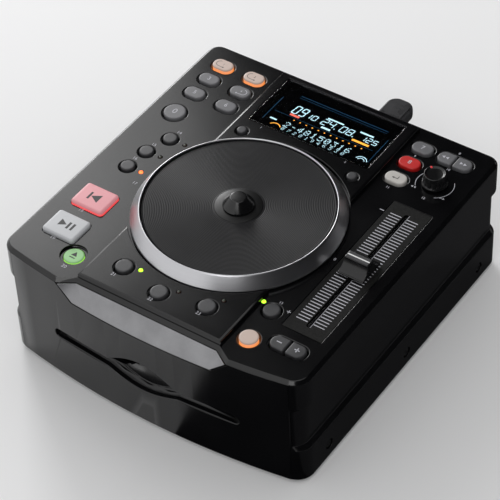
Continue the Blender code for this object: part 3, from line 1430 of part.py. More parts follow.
def main_board(material):
    """Main board with the mains supply block, two capacitors, the drive chips and the power
    switch on its bracket."""
    bm = bmesh.new()
    box(bm, (-MAIN_BOARD_HALF, MAIN_BOARD_FRONT, Z_MAIN - BOARD_T), (MAIN_BOARD_HALF, MAIN_BOARD_REAR, Z_MAIN))
    piece = make("main_board", bm, material)
    bm = bmesh.new()
    low = Z_MAIN - ROOT
    box(bm, (INLET_X - SUPPLY_W / 2, SUPPLY_Y, low), (INLET_X + SUPPLY_W / 2, SUPPLY_Y + SUPPLY_D, Z_MAIN + SUPPLY_H))
    for step in range(2):
        rod(bm, (INLET_X + SUPPLY_W / 2 + CAN_R * 2, SUPPLY_Y + CAN_R + step * CAN_R * 3, low), UP,
            CAN_H + ROOT, CAN_R, SCREW_SIDES)
    for step in range(3):
        x = STICK_X + step * CHIP_PITCH - CHIP_W / 2
        box(bm, (x - CHIP_W / 2, SUPPLY_Y, low), (x + CHIP_W / 2, SUPPLY_Y + CHIP_W, Z_MAIN + CHIP_T))
    box(bm, (POWER_X - POWER_BODY_W / 2, SWITCH_FRONT, low),
        (POWER_X + POWER_BODY_W / 2, SWITCH_FRONT + POWER_BODY_D, POWER_Z + POWER_H / 2))
    add(piece, bm, "components")
    return piece


# Disc loader

DISC_CLEAR = 0.6 * MM
SPINDLE_BACK = 12.0 * MM
LOADER_T = 1.2 * MM
LOADER_SIDE = 3.2 * MM
LOADER_HALF = THROAT_HALF_W + LOADER_SIDE
LOADER_SETBACK = 2.0 * MM
LOADER_Y = Y_FRONT + WALL + THROAT_D + LOADER_SETBACK
LOADER_L = 116.0 * MM
LOADER_DEPTH = 17.0 * MM
LOADER_FLOOR = SLOT_Z - LOADER_DEPTH
LOADER_TOP = SLOT_Z + THROAT_H / 2 + DISC_CLEAR
PATH_LOW = SLOT_Z - THROAT_H / 2
SPINDLE_Y = Y_FRONT + SPINDLE_BACK + DISC_R
ROLLER_R = 4.0 * MM
ROLLER_WAIST_R = 3.2 * MM
ROLLER_SHAFT_R = 1.5 * MM
ROLLER_SETBACK = 6.0 * MM
ROLLER_Y = LOADER_Y + ROLLER_SETBACK
ROLLER_Z = PATH_LOW - GAP - ROLLER_R
TURNTABLE_R = 15.0 * MM
TURNTABLE_T = 2.0 * MM
HUB_NOSE_R = 7.3 * MM
HUB_NOSE_H = 2.2 * MM
MOTOR_R = 12.0 * MM
MOTOR_H = 7.0 * MM
MOTOR_SHAFT_R = 1.2 * MM
RAIL_R = 1.5 * MM
RAIL_HALF = 16.0 * MM
SLED_L = 22.0 * MM
SLED_HALF = 20.0 * MM
SLED_H = 7.0 * MM
LENS_R = 4.0 * MM
LENS_H = 2.6 * MM
SLED_THROW = 33.0 * MM
CLAMP_R = 16.0 * MM
CLAMP_H = 5.0 * MM
CLAMP_TOP = LOADER_TOP + GAP + LOADER_T + CLAMP_H
RAIL_DROP = 8.5 * MM
RAIL_Z = PATH_LOW - RAIL_DROP
SLED_SETBACK = 3.0 * MM
SLED_Y = SPINDLE_Y + MOTOR_R + SLED_SETBACK
RAIL_TAB_T = 3.0 * MM
LOADER_LIP = 6.0 * MM


def loader_feet():
    """Places where the loader stands on the floor."""
    inset = POST_MARGIN * 2
    return [(side * (LOADER_HALF - inset), y) for side in (-1, 1)
            for y in (LOADER_Y + inset, LOADER_Y + LOADER_L - inset)]


def loader_frame(material):
    """Pressed tray between the side walls of the disc path: floor, walls, feet, the spindle
    motor's can and the two rails of the pickup."""
    bm = bmesh.new()
    end = LOADER_Y + LOADER_L
    box(bm, (-LOADER_HALF, LOADER_Y, LOADER_FLOOR), (LOADER_HALF, end, LOADER_FLOOR + LOADER_T))
    piece = make("loader_frame", bm, material)
    bm = bmesh.new()
    for side in (-1, 1):
        outer = side * LOADER_HALF
        inner = outer - side * LOADER_T
        box(bm, (min(outer, inner), LOADER_Y, LOADER_FLOOR + LOADER_T - ROOT),
            (max(outer, inner), end, LOADER_TOP))
    for x, y in loader_feet():
        rod(bm, (x, y, Z_BASE + FLOOR_T + GAP), UP, LOADER_FLOOR - Z_BASE - FLOOR_T - GAP + ROOT,
            POST_R * 2, POST_SIDES)
    rod(bm, (0, SPINDLE_Y, LOADER_FLOOR + LOADER_T - ROOT), UP, MOTOR_H + ROOT, MOTOR_R, ENCODER_SIDES)
    rail_start = SLED_Y - RAIL_TAB_T - GAP
    rail_end = SLED_Y + SLED_L + SLED_THROW + GAP + RAIL_TAB_T
    for side in (-1, 1):
        for y in (rail_start, rail_end - RAIL_TAB_T):
            box(bm, (side * RAIL_HALF - RAIL_R * 2, y, LOADER_FLOOR + LOADER_T - ROOT),
                (side * RAIL_HALF + RAIL_R * 2, y + RAIL_TAB_T, RAIL_Z + RAIL_R * 2))
    add(piece, bm, "walls_feet_and_tabs")
    bm = bmesh.new()
    for side in (-1, 1):
        rod(bm, (side * RAIL_HALF, rail_start + ROOT, RAIL_Z), BACK, rail_end - rail_start - 2 * ROOT,
            RAIL_R, POST_SIDES)
    add(piece, bm, "rails")
    bm = bmesh.new()
    rod(bm, (-LOADER_HALF - OVERRUN, ROLLER_Y, ROLLER_Z), RIGHT, 2 * (LOADER_HALF + OVERRUN),
        ROLLER_SHAFT_R + GAP, SCREW_SIDES)
    rod(bm, (0, SPINDLE_Y, LOADER_FLOOR - OVERRUN), UP, MOTOR_H + LOADER_T + 2 * OVERRUN,
        MOTOR_SHAFT_R + GAP, SCREW_SIDES)
    for x, y in loader_feet():
        rod(bm, (x, y, Z_BASE), UP, SCREW_L + GAP, SCREW_SHANK_R + GAP, SCREW_SIDES)
    cut(piece, bm, "loader_holes")
    return piece


def loader_cover(material):
    """Plate over the disc path with turned-up ends and the round housing of the disc clamp."""
    bm = bmesh.new()
    end = LOADER_Y + LOADER_L
    low = LOADER_TOP + GAP
    box(bm, (-LOADER_HALF, LOADER_Y, low), (LOADER_HALF, end, low + LOADER_T))
    piece = make("loader_cover", bm, material)
    bm = bmesh.new()
    for y in (LOADER_Y, end - LOADER_T):
        box(bm, (-LOADER_HALF, y, low + LOADER_T - ROOT), (LOADER_HALF, y + LOADER_T, low + LOADER_LIP))
    rod(bm, (0, SPINDLE_Y, CLAMP_TOP - CLAMP_H - ROOT), UP, CLAMP_H + ROOT, CLAMP_R, ENCODER_SIDES,
        CLAMP_R - LOADER_T)
    add(piece, bm, "clamp_and_lips")
    return piece


def feed_roller(material):
    """Waisted rubber roller on its steel shaft under the disc path."""
    half = THROAT_HALF_W - 2 * GAP
    reach = LOADER_HALF
    bm = bmesh.new()
    turned(bm, [(0, -reach), (ROLLER_SHAFT_R, -reach), (ROLLER_SHAFT_R, -half), (ROLLER_R, -half),
                (ROLLER_WAIST_R, 0), (ROLLER_R, half), (ROLLER_SHAFT_R, half), (ROLLER_SHAFT_R, reach), (0, reach)],
           (0, ROLLER_Y, ROLLER_Z), SCREW_SIDES, direction=RIGHT)
    return make("feed_roller", bm, material, (0, ROLLER_Y, ROLLER_Z))


def spindle_turntable(material):
    """Turntable on the motor's shaft, with the nose that centres the disc."""
    top = PATH_LOW - GAP
    table = top - HUB_NOSE_H
    low = LOADER_FLOOR
    bm = bmesh.new()
    turned(bm, [(0, low), (MOTOR_SHAFT_R, low), (MOTOR_SHAFT_R, table - TURNTABLE_T),
                (TURNTABLE_R, table - TURNTABLE_T), (TURNTABLE_R, table), (HUB_NOSE_R, table),
                (HUB_NOSE_R - CAP_BEVEL, top), (0, top)], (0, SPINDLE_Y, 0), ENCODER_SIDES)
    return make("spindle_turntable", bm, material, (0, SPINDLE_Y, table))


def pickup_sled(material):
    """Laser pickup on its two rails, with the round lens above."""
    low = RAIL_Z - SLED_H / 2
    bm = bmesh.new()
    box(bm, (-SLED_HALF, SLED_Y, low), (SLED_HALF, SLED_Y + SLED_L, low + SLED_H))
    piece = make("pickup_sled", bm, material, (0, SLED_Y, RAIL_Z))
    bm = bmesh.new()
    rod(bm, (0, SLED_Y + SLED_L / 2, low + SLED_H - ROOT), UP, LENS_H + ROOT, LENS_R, SCREW_SIDES)
    add(piece, bm, "lens")
    bm = bmesh.new()
    for side in (-1, 1):
        rod(bm, (side * RAIL_HALF, SLED_Y - OVERRUN, RAIL_Z), BACK, SLED_L + 2 * OVERRUN, RAIL_R + GAP, POST_SIDES)
    cut(piece, bm, "rail_bores")
    return piece


def build():
    """Make every piece of the player."""
    clear_scene()
    case_black = finish("case_black", (0.028, 0.028, 0.031), 0.42)
    steel = finish("zinc_steel", (0.46, 0.47, 0.48), 0.38, 1.0)
    board_green = finish("board_green", (0.03, 0.12, 0.06), 0.5)
    black_plastic = finish("black_plastic", (0.02, 0.02, 0.022), 0.5)
    cap_colours = {
        "grey": finish("grey_cap", (0.12, 0.12, 0.13), 0.45),
        "dark": finish("dark_cap", (0.035, 0.035, 0.038), 0.45),
        "pale": finish("pale_cap", (0.62, 0.62, 0.64), 0.35),
        "pink": finish("pink_cap", (0.85, 0.42, 0.44), 0.35, glow=0.3),
        "amber": finish("amber_cap", (0.88, 0.62, 0.48), 0.35, glow=0.3),
        "green": finish("green_cap", (0.36, 0.70, 0.36), 0.35, glow=0.3),
        "red": finish("red_cap", (0.62, 0.03, 0.03), 0.35),
        "white": finish("white_cap", (0.64, 0.61, 0.56), 0.4),
    }
    caps = button_table()
    upper_housing(case_black, caps)
    front_bezel(finish("bezel_black", (0.03, 0.03, 0.034), 0.36))
    name_plate(finish("satin_plate", (0.42, 0.41, 0.41), 0.34, 1.0))
    bottom_plate(steel)
    rear_panel(finish("panel_black", (0.03, 0.03, 0.03), 0.5, 0.3))
    rubber_feet(finish("foot_rubber", (0.02, 0.02, 0.02), 0.8))
    display_window(finish("tinted_acrylic", (0.01, 0.012, 0.016), 0.08))
    display_module(finish("display_glass", (0.02, 0.03, 0.05), 0.15))
    fader_plate(finish("fader_plate_grain", (0.035, 0.036, 0.036), 0.6, 0.2))
    fader_body(steel)
    fader_carriage(black_plastic)
    fader_cap(finish("fader_cap_black", (0.04, 0.04, 0.042), 0.4))
    platter_ring(finish("platter_aluminium", (0.62, 0.62, 0.63), 0.28, 1.0))
    platter_disc(finish("platter_face", (0.03, 0.03, 0.033), 0.35))
    platter_cone(finish("cone_black", (0.025, 0.025, 0.028), 0.35))
    platter_shaft(steel)
    encoder_rotor(steel)
    encoder_shaft(steel)
    parameter_knob(finish("knob_black", (0.03, 0.03, 0.032), 0.45))
    for facts in caps:
        button(facts, cap_colours[facts["colour"]])
    key_board(board_green, caps)
    main_board(board_green)
    rear_sockets(black_plastic)
    mains_inlet(black_plastic)
    power_button(black_plastic)
    memory_stick(finish("stick_grey", (0.3, 0.3, 0.32), 0.35, 0.4))
    loader_frame(steel)
    loader_cover(steel)
    feed_roller(finish("roller_rubber", (0.04, 0.04, 0.04), 0.7))
    spindle_turntable(black_plastic)
    pickup_sled(black_plastic)
    settle_shading()


build()
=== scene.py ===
"""Tabletop disc player for DJs, dressed for its render: moulded case, bright platter ring, lit
pads, fluorescent display and printed figures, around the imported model. Metres, +Z up, front at -Y."""

import math

import bmesh
import bpy
from mathutils import Matrix, Vector


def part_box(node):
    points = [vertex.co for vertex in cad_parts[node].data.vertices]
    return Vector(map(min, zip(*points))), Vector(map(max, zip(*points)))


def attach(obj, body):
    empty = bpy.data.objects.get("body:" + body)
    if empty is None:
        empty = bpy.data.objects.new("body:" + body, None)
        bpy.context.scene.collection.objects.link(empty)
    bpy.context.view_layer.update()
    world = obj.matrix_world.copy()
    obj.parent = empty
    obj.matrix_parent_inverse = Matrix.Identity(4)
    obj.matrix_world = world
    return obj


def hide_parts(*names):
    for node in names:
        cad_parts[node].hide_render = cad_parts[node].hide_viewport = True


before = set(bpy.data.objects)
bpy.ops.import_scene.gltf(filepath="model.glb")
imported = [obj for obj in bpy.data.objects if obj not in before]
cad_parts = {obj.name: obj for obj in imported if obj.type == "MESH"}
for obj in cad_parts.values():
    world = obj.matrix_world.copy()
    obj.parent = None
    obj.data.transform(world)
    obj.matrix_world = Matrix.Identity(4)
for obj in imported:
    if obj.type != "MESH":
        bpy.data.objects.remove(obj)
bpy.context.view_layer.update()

# The studio: a pale floor under an even sky, a large soft lamp high on the left, a strip lamp low
# behind it and a small lamp in front. Dark cards stand round the right and the back and lie on the
# floor there. They show only in reflections, as a photographer's black flags do.

MM = 0.001
SKY_FILL = 0.58
CARD_R = 2.0
CARD_FROM, CARD_TO = math.radians(-84), math.radians(134)
FLOOR_CARD_FROM = math.radians(-98)
FLOOR_CARD_Z = 0.4 * MM
FLOOR_CARD_X = 0.04
CARD_STEPS = 24
LAMP_LEFT = (Vector((-1.47, 0.85, 1.29)), 1.2, 0.8, 7.6)
LAMP_STRIP = (Vector((-1.39, 1.12, 0.71)), 0.5, 0.45, 12.0)
LAMP_FRONT = (Vector((0.5, -1.5, 1.7)), 0.9, 0.9, 7.0)
LAMP_AIM = Vector((0, -0.02, 0.06))

scene = bpy.context.scene
scene.view_settings.view_transform = "Standard"


def plain_material(name, colour, roughness, metallic=0.0, specular=0.5):
    """Material with a Principled shader set to plain values."""
    material = bpy.data.materials.new(name)
    material.use_nodes = True
    shader = material.node_tree.nodes["Principled BSDF"]
    shader.inputs["Base Color"].default_value = (*colour, 1)
    shader.inputs["Roughness"].default_value = roughness
    shader.inputs["Metallic"].default_value = metallic
    shader.inputs["Specular IOR Level"].default_value = specular
    return material


def link_mesh(name, bm, *materials):
    """Put a bmesh drawn in place into the scene, with faces outwards and soft shading."""
    bmesh.ops.remove_doubles(bm, verts=bm.verts, dist=0.0005 * MM)
    bmesh.ops.recalc_face_normals(bm, faces=bm.faces)
    mesh = bpy.data.meshes.new(name)
    bm.to_mesh(mesh)
    bm.free()
    for material in materials:
        mesh.materials.append(material)
    mesh.shade_smooth()
    mesh.set_sharp_from_angle(angle=math.radians(34))
    item = bpy.data.objects.new(name, mesh)
    scene.collection.objects.link(item)
    return item


world = bpy.data.worlds.new("studio_sky")
scene.world = world
world.use_nodes = True
sky = world.node_tree.nodes["Background"]
sky.inputs["Color"].default_value = (1, 1, 1, 1)
rays = world.node_tree.nodes.new("ShaderNodeLightPath")
seen = world.node_tree.nodes.new("ShaderNodeMath")
seen.operation = "ADD"
seen_all = world.node_tree.nodes.new("ShaderNodeMath")
seen_all.operation = "ADD"
seen_all.use_clamp = True
sky_level = world.node_tree.nodes.new("ShaderNodeMapRange")
sky_level.inputs["To Min"].default_value = SKY_FILL
world.node_tree.links.new(rays.outputs["Is Camera Ray"], seen.inputs[0])
world.node_tree.links.new(rays.outputs["Is Glossy Ray"], seen.inputs[1])
world.node_tree.links.new(seen.outputs["Value"], seen_all.inputs[0])
world.node_tree.links.new(rays.outputs["Is Transmission Ray"], seen_all.inputs[1])
world.node_tree.links.new(seen_all.outputs["Value"], sky_level.inputs["Value"])
world.node_tree.links.new(sky_level.outputs["Result"], sky.inputs["Strength"])

bm = bmesh.new()
bmesh.ops.create_grid(bm, x_segments=2, y_segments=2, size=12.0)
floor = link_mesh("studio_floor", bm, plain_material("pale_floor", (0.88, 0.88, 0.885), 0.7, specular=0.2))
bm = bmesh.new()
low = bm.verts.new((CARD_R * math.cos(CARD_FROM), CARD_R * math.sin(CARD_FROM), 0.12))
high = bm.verts.new((CARD_R * math.cos(CARD_FROM), CARD_R * math.sin(CARD_FROM), 4.2))
edge = bm.edges.new((low, high))
bmesh.ops.spin(bm, geom=[low, high, edge], cent=(0, 0, 0), axis=(0, 0, 1), angle=CARD_TO - CARD_FROM,
               steps=CARD_STEPS)
card = link_mesh("studio_card", bm, plain_material("card_black", (0.012, 0.012, 0.013), 0.9, specular=0.0))
bm = bmesh.new()
near, far = (bm.verts.new((FLOOR_CARD_X + reach * math.cos(FLOOR_CARD_FROM), reach * math.sin(FLOOR_CARD_FROM),
                           FLOOR_CARD_Z)) for reach in (0.03, CARD_R))
edge = bm.edges.new((near, far))
bmesh.ops.spin(bm, geom=[near, far, edge], cent=(FLOOR_CARD_X, 0, 0), axis=(0, 0, 1),
               angle=CARD_TO - FLOOR_CARD_FROM, steps=CARD_STEPS)
for face in bm.faces:
    if face.calc_center_median().x > 0.5:
        face.material_index = 1
floor_card = link_mesh("studio_floor_card", bm, card.data.materials[0],
                       plain_material("card_grey", (0.08, 0.08, 0.083), 0.9, specular=0.0))
for flag in (card, floor_card):
    flag.visible_camera = False
    flag.visible_diffuse = False
    flag.visible_shadow = False

for place, wide, tall, power in (LAMP_LEFT, LAMP_STRIP, LAMP_FRONT):
    lamp_data = bpy.data.lights.new("soft_lamp", "AREA")
    lamp_data.shape = "RECTANGLE"
    lamp_data.size = wide
    lamp_data.size_y = tall
    lamp_data.energy = power
    lamp = bpy.data.objects.new("soft_lamp", lamp_data)
    lamp.location = place
    lamp.rotation_euler = (place - LAMP_AIM).to_track_quat("Z", "Y").to_euler()
    scene.collection.objects.link(lamp)

# The camera looks from the front right and above, as the photograph does.

VIEW_AZIMUTH, VIEW_ELEVATION, VIEW_ROLL = (math.radians(angle) for angle in (36.53, 44.4, -2.98))
VIEW_DISTANCE = 1.3494
VIEW_TARGET = Vector((6.86, -29.46, 63.0)) * MM

backward = Vector((math.sin(VIEW_AZIMUTH) * math.cos(VIEW_ELEVATION),
                   -math.cos(VIEW_AZIMUTH) * math.cos(VIEW_ELEVATION), math.sin(VIEW_ELEVATION)))
level_right = Vector((0, 0, 1)).cross(backward).normalized()
level_up = backward.cross(level_right)
right = level_right * math.cos(VIEW_ROLL) + level_up * math.sin(VIEW_ROLL)
up = level_up * math.cos(VIEW_ROLL) - level_right * math.sin(VIEW_ROLL)
camera_data = bpy.data.cameras.new("camera")
camera_data.lens = 157.1
camera_data.sensor_width = 36
camera = bpy.data.objects.new("camera", camera_data)
camera.matrix_world = Matrix.Translation(VIEW_TARGET + backward * VIEW_DISTANCE) @ \
    Matrix((right, up, backward)).transposed().to_4x4()
scene.collection.objects.link(camera)
scene.camera = camera

# Steel floor and rubber feet. The floor is zinc-plated sheet with a faint mottled bloom, the feet
# are moulded rubber pressed into it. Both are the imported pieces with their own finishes.


def effect_group(name, settings, results):
    """Empty node group: a vector and named settings in, named results out."""
    tree = bpy.data.node_groups.new(name, "ShaderNodeTree")
    tree.interface.new_socket("Place", in_out="INPUT", socket_type="NodeSocketVector")
    for label in settings:
        tree.interface.new_socket(label, in_out="INPUT", socket_type="NodeSocketFloat")
    for label in results:
        tree.interface.new_socket(label, in_out="OUTPUT", socket_type="NodeSocketFloat")
    return tree, tree.nodes.new("NodeGroupInput"), tree.nodes.new("NodeGroupOutput")


def noise_in(tree, place, scale, detail):
    """Noise whose scale comes from a socket of its group."""
    noise = tree.nodes.new("ShaderNodeTexNoise")
    noise.inputs["Detail"].default_value = detail
    tree.links.new(place, noise.inputs["Vector"])
    tree.links.new(scale, noise.inputs["Scale"])
    return noise.outputs["Fac"]


grain, entry, result = effect_group("surface_grain", ("Grain", "Drift"), ("Height", "Tone"))
fine = noise_in(grain, entry.outputs["Place"], entry.outputs["Grain"], 2.0)
broad = noise_in(grain, entry.outputs["Place"], entry.outputs["Drift"], 3.0)
spread = grain.nodes.new("ShaderNodeMapRange")
spread.inputs["From Min"].default_value = 0.36
spread.inputs["From Max"].default_value = 0.64
grain.links.new(broad, spread.inputs["Value"])
blend_tone = grain.nodes.new("ShaderNodeMath")
blend_tone.operation = "MULTIPLY_ADD"
blend_tone.inputs[1].default_value = 0.45
grain.links.new(fine, blend_tone.inputs[0])
half_tone = grain.nodes.new("ShaderNodeMath")
half_tone.operation = "MULTIPLY"
half_tone.inputs[1].default_value = 0.6
grain.links.new(spread.outputs["Result"], half_tone.inputs[0])
grain.links.new(half_tone.outputs["Value"], blend_tone.inputs[2])
grain.links.new(fine, result.inputs["Height"])
grain.links.new(blend_tone.outputs["Value"], result.inputs["Tone"])


def node_colour(tree, mask, first, second, target):
    """Colour that runs from first to second with a mask, fed to a socket."""
    mix = tree.nodes.new("ShaderNodeMix")
    mix.data_type = "RGBA"
    mix.inputs[6].default_value = (*first, 1)
    mix.inputs[7].default_value = (*second, 1)
    tree.links.new(mask, mix.inputs[0])
    tree.links.new(mix.outputs[2], target)


def node_range(tree, mask, low, high, target):
    """Number that runs from low to high with a mask, fed to a socket."""
    span = tree.nodes.new("ShaderNodeMapRange")
    span.inputs["To Min"].default_value = low
    span.inputs["To Max"].default_value = high
    tree.links.new(mask, span.inputs["Value"])
    tree.links.new(span.outputs["Result"], target)


def node_relief(tree, height, depth, shader):
    """Bump of a real depth on a shader."""
    bump = tree.nodes.new("ShaderNodeBump")
    bump.inputs["Distance"].default_value = depth
    tree.links.new(height, bump.inputs["Height"])
    tree.links.new(bump.outputs["Normal"], shader.inputs["Normal"])


def use_group(tree, group, place, **settings):
    """A shared effect placed in a material with its own values."""
    node = tree.nodes.new("ShaderNodeGroup")
    node.node_tree = group
    tree.links.new(place, node.inputs["Place"])
    for label, value in settings.items():
        node.inputs[label].default_value = value
    return node


def grained(name, dark, pale, rough, metallic=0.0, specular=0.5, size=2600.0, drift=45.0, relief=0.02 * MM):
    """Finish whose colour and roughness drift over the surface, with a fine grain in relief."""
    material = plain_material(name, dark, rough[0], metallic, specular)
    tree = material.node_tree
    shader = tree.nodes["Principled BSDF"]
    place = tree.nodes.new("ShaderNodeTexCoord").outputs["Object"]
    effect = use_group(tree, grain, place, Grain=size, Drift=drift)
    node_colour(tree, effect.outputs["Tone"], dark, pale, shader.inputs["Base Color"])
    node_range(tree, effect.outputs["Tone"], *rough, shader.inputs["Roughness"])
    if relief:
        node_relief(tree, effect.outputs["Height"], relief, shader)
    return material


def dress(node, material):
    """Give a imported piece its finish."""
    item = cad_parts[node]
    item.data.materials.clear()
    item.data.materials.append(material)


zinc = grained("zinc_plate", (0.40, 0.41, 0.42), (0.56, 0.56, 0.57), (0.28, 0.46), 1.0, size=700.0, drift=90.0,
               relief=0.01 * MM)
rubber = grained("foot_rubber", (0.012, 0.012, 0.013), (0.022, 0.022, 0.023), (0.7, 0.85), size=1800.0)
dress("bottom_plate", zinc)
for corner in ("front_left", "rear_left", "front_right", "rear_right"):
    dress("foot_" + corner, rubber)

# Buttons' sizes come first, because the case is cut to them: each cap is moulded plastic that
# stands in its own hole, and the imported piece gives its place, its height and its flange.

FLANGE_OUT = 1.2 * MM
CAP_GAP = 0.45 * MM
PAIR_SPLIT = 1.2 * MM
END_R = 4.6 * MM
PAIR_INNER_R = 1.0 * MM
PAD_R = 2.4 * MM
ROUND = ("eject", "jog_mode", "tap", "key", "echo", "flanger", "filter", "brake", "dump", "reverse",
         "time", "sync")
OBLONG = ("hot_start_one", "hot_start_two", "flip", "loop", "next_track", "exit", "memo", "source", "back")
PADS = ("play", "cue")
LEFT_HALVES = ("bend_minus", "search_back")
RIGHT_HALVES = ("bend_plus", "search_forward")

z_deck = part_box("fader_plate")[1].z
z_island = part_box("display_window")[1].z
well_centre = Vector((0, (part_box("platter_ring")[0].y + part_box("platter_ring")[1].y) / 2, 0))


def cap_facts(name):
    """Centre, width, depth, left and right corner radius, and height of a button's cap."""
    low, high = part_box(name + "_button")
    width = high.x - low.x
    depth = high.y - low.y - 2 * FLANGE_OUT
    centre = (low + high) / 2
    if name not in LEFT_HALVES + RIGHT_HALVES:
        width -= 2 * FLANGE_OUT
    left = right = END_R
    if name in ROUND:
        left = right = width / 2
    if name in PADS:
        left = right = PAD_R
    if name in LEFT_HALVES:
        right = PAIR_INNER_R
    if name in RIGHT_HALVES:
        left = PAIR_INNER_R
    return {"centre": centre, "width": width, "depth": depth, "left": left, "right": right, "top": high.z}


def moulded_round(bm, facts, profile, steps=56):
    """Spin a profile of (outward, height) points measured from a cap's edge, then draw its
    quarters apart into the cap's rounded oblong."""
    before = set(bm.verts)
    base = facts["left"]
    verts = [bm.verts.new((max(base + outward, 0), 0, height)) for outward, height in profile]
    edges = [bm.edges.new(pair) for pair in zip(verts, verts[1:])]
    bmesh.ops.spin(bm, geom=verts + edges, cent=(0, 0, 0), axis=(0, 0, 1), angle=math.tau,
                   steps=steps, use_merge=True)
    new = [vert for vert in bm.verts if vert not in before]
    bmesh.ops.remove_doubles(bm, verts=new, dist=0.0005 * MM)
    for vert in bm.verts:
        if vert in before:
            continue
        reach = math.hypot(vert.co.x, vert.co.y)
        side_x = 0 if abs(vert.co.x) < WELD else math.copysign(1, vert.co.x)
        side_y = 0 if abs(vert.co.y) < WELD else math.copysign(1, vert.co.y)
        radius = facts["right"] if side_x > 0 else facts["left"]
        scale = max(radius + reach - base, 0) / reach if reach > WELD else 0
        vert.co.x = facts["centre"].x + side_x * (facts["width"] / 2 - radius) + vert.co.x * scale
        vert.co.y = facts["centre"].y + side_y * (facts["depth"] / 2 - radius) + vert.co.y * scale


WELD = 0.001 * MM
caps = {name: cap_facts(name) for name in ROUND + OBLONG + PADS + LEFT_HALVES + RIGHT_HALVES}

# Upper housing: one injection moulding in satin black with a fine grain: a bowed, chamfered box
# with hollowed sides and a raised island round the platter's well. Every hole has a soft rim, and
# the mould's small radii round all of its edges.

CASE_HALF, FRONT_Y, REAR_Y, BOW = 110.0 * MM, -136.55 * MM, 101.55 * MM, 10.6 * MM
FRONT_R, REAR_R = 12.0 * MM, 9.0 * MM
CASE_CHAMFER, CASE_WALL, DECK_T = 2.2 * MM, 2.6 * MM, 2.5 * MM
BASE_Z, BAND_Z, LIP_Z = 3.0 * MM, 28.4 * MM, 65.5 * MM
SIDE_IN, SIDE_RAMP = 3.0 * MM, 3.6 * MM
SIDE_BLEND = 18.0 * MM
ISLAND_HALF, ISLAND_FRONT, ISLAND_REAR = 52.0 * MM, -124.05 * MM, 96.55 * MM
FRONT_STEPS, CORNER_STEPS = 64, 14
MOULD_R = 0.55 * MM
RIM_OUT = 1.15 * MM
RIM_DEPTH = 1.15 * MM
CUT_OVER = 4.0 * MM
WELL_R = 68.55 * MM
EJECT_WELL_R = 8.6 * MM
EJECT_WELL_D = 1.6 * MM
LAMP_HOLE_R = 1.6 * MM
HUB_HOLE_R, KNOB_HOLE_R = 3.2 * MM, 5.0 * MM
SCREW_PLACES = [Vector((side * 108.7, y, 13.0)) * MM for side in (-1, 1) for y in (-99.17, -11.07, 76.79)]
POCKET_R = 3.6 * MM
LAMPS = ((152.0, 75.2, 0), (166.2, 75.2, 0), (179.8, 75.2, "orange"), (315.8, 74.5, "green"),
         (253.4, 75.2, "green"), (276.4, 75.2, 0), (297.8, 75.2, 0))


def eased(points, reach, steps=4):
    """Run of points with its inner corners rounded over a short reach."""
    points = [Vector(point) for point in points]
    result = [points[0]]
    for before, corner, after in zip(points, points[1:], points[2:]):
        start = corner + (before - corner).normalized() * min(reach, (before - corner).length / 2)
        end = corner + (after - corner).normalized() * min(reach, (after - corner).length / 2)
        for step in range(steps + 1):
            share = step / steps
            result.append(start * (1 - share) ** 2 + corner * 2 * share * (1 - share) + end * share ** 2)
    return result + [points[-1]]


def lofted(bm, loops):
    """Draw a flat face through a stack of loops of as many points each, leaving a closed solid."""
    face = bm.faces.new([bm.verts.new(point) for point in loops[0]])
    for number, loop in enumerate(loops[1:]):
        grown = bmesh.ops.extrude_face_region(bm, geom=[face])
        if number:
            bmesh.ops.delete(bm, geom=[face], context="FACES_ONLY")
        face = next(part for part in grown["geom"] if isinstance(part, bmesh.types.BMFace))
        for vert, point in zip(face.verts, loop):
            vert.co = point


def front_line(x):
    """Y of the bowed front."""
    return FRONT_Y + BOW * (x / CASE_HALF) ** 2


def case_loop(inset, inward, z):
    """Plan loop of the case at a height: its sides stand in by inset, all of it by inward."""
    slope = math.atan(2 * BOW * (CASE_HALF - FRONT_R) / CASE_HALF ** 2)
    reach = CASE_HALF - FRONT_R + FRONT_R * math.sin(slope)
    points = []
    for step in range(FRONT_STEPS + 1):
        x = reach * (2 * step / FRONT_STEPS - 1)
        tilt = math.atan(2 * BOW * x / CASE_HALF ** 2)
        shift = inset * max(0, (abs(x) - reach + SIDE_BLEND) / SIDE_BLEND) ** 2
        points.append((x - math.copysign(shift, x) - inward * math.sin(tilt),
                       front_line(x) + inward * math.cos(tilt)))
    side = []
    centre_y = front_line(reach) + FRONT_R * math.cos(slope)
    for step in range(1, CORNER_STEPS + 1):
        angle = (slope - math.pi / 2) * (1 - step / CORNER_STEPS)
        side.append((CASE_HALF - FRONT_R - inset + (FRONT_R - inward) * math.cos(angle),
                     centre_y + (FRONT_R - inward) * math.sin(angle)))
    for step in range(CORNER_STEPS + 1):
        angle = math.pi / 2 * step / CORNER_STEPS
        side.append((CASE_HALF - REAR_R - inset + (REAR_R - inward) * math.cos(angle),
                     REAR_Y - REAR_R + (REAR_R - inward) * math.sin(angle)))
    points += side + [(-x, y) for x, y in reversed(side)]
    return [(x, y, z) for x, y in points]


def merged_copy(node, whole=True):
    """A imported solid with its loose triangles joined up, and merged into whole faces."""
    bm = bmesh.new()
    bm.from_mesh(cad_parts[node].data)
    bmesh.ops.remove_doubles(bm, verts=bm.verts, dist=0.002 * MM)
    if whole:
        bmesh.ops.dissolve_limit(bm, angle_limit=math.radians(0.3), verts=bm.verts, edges=bm.edges)
    return bm


def apply_live(item):
    """Turn an object's modifiers into its mesh."""
    graph = bpy.context.evaluated_depsgraph_get()
    mesh = bpy.data.meshes.new_from_object(item.evaluated_get(graph))
    item.modifiers.clear()
    item.data = mesh


def combine_smooth(item, bm, operation="DIFFERENCE"):
    """Cut a smooth shape out of a piece, or fuse it on."""
    guide = link_mesh("guide", bm)
    step = item.modifiers.new("shape", "BOOLEAN")
    step.operation = operation
    step.object = guide
    apply_live(item)
    bpy.data.objects.remove(guide)


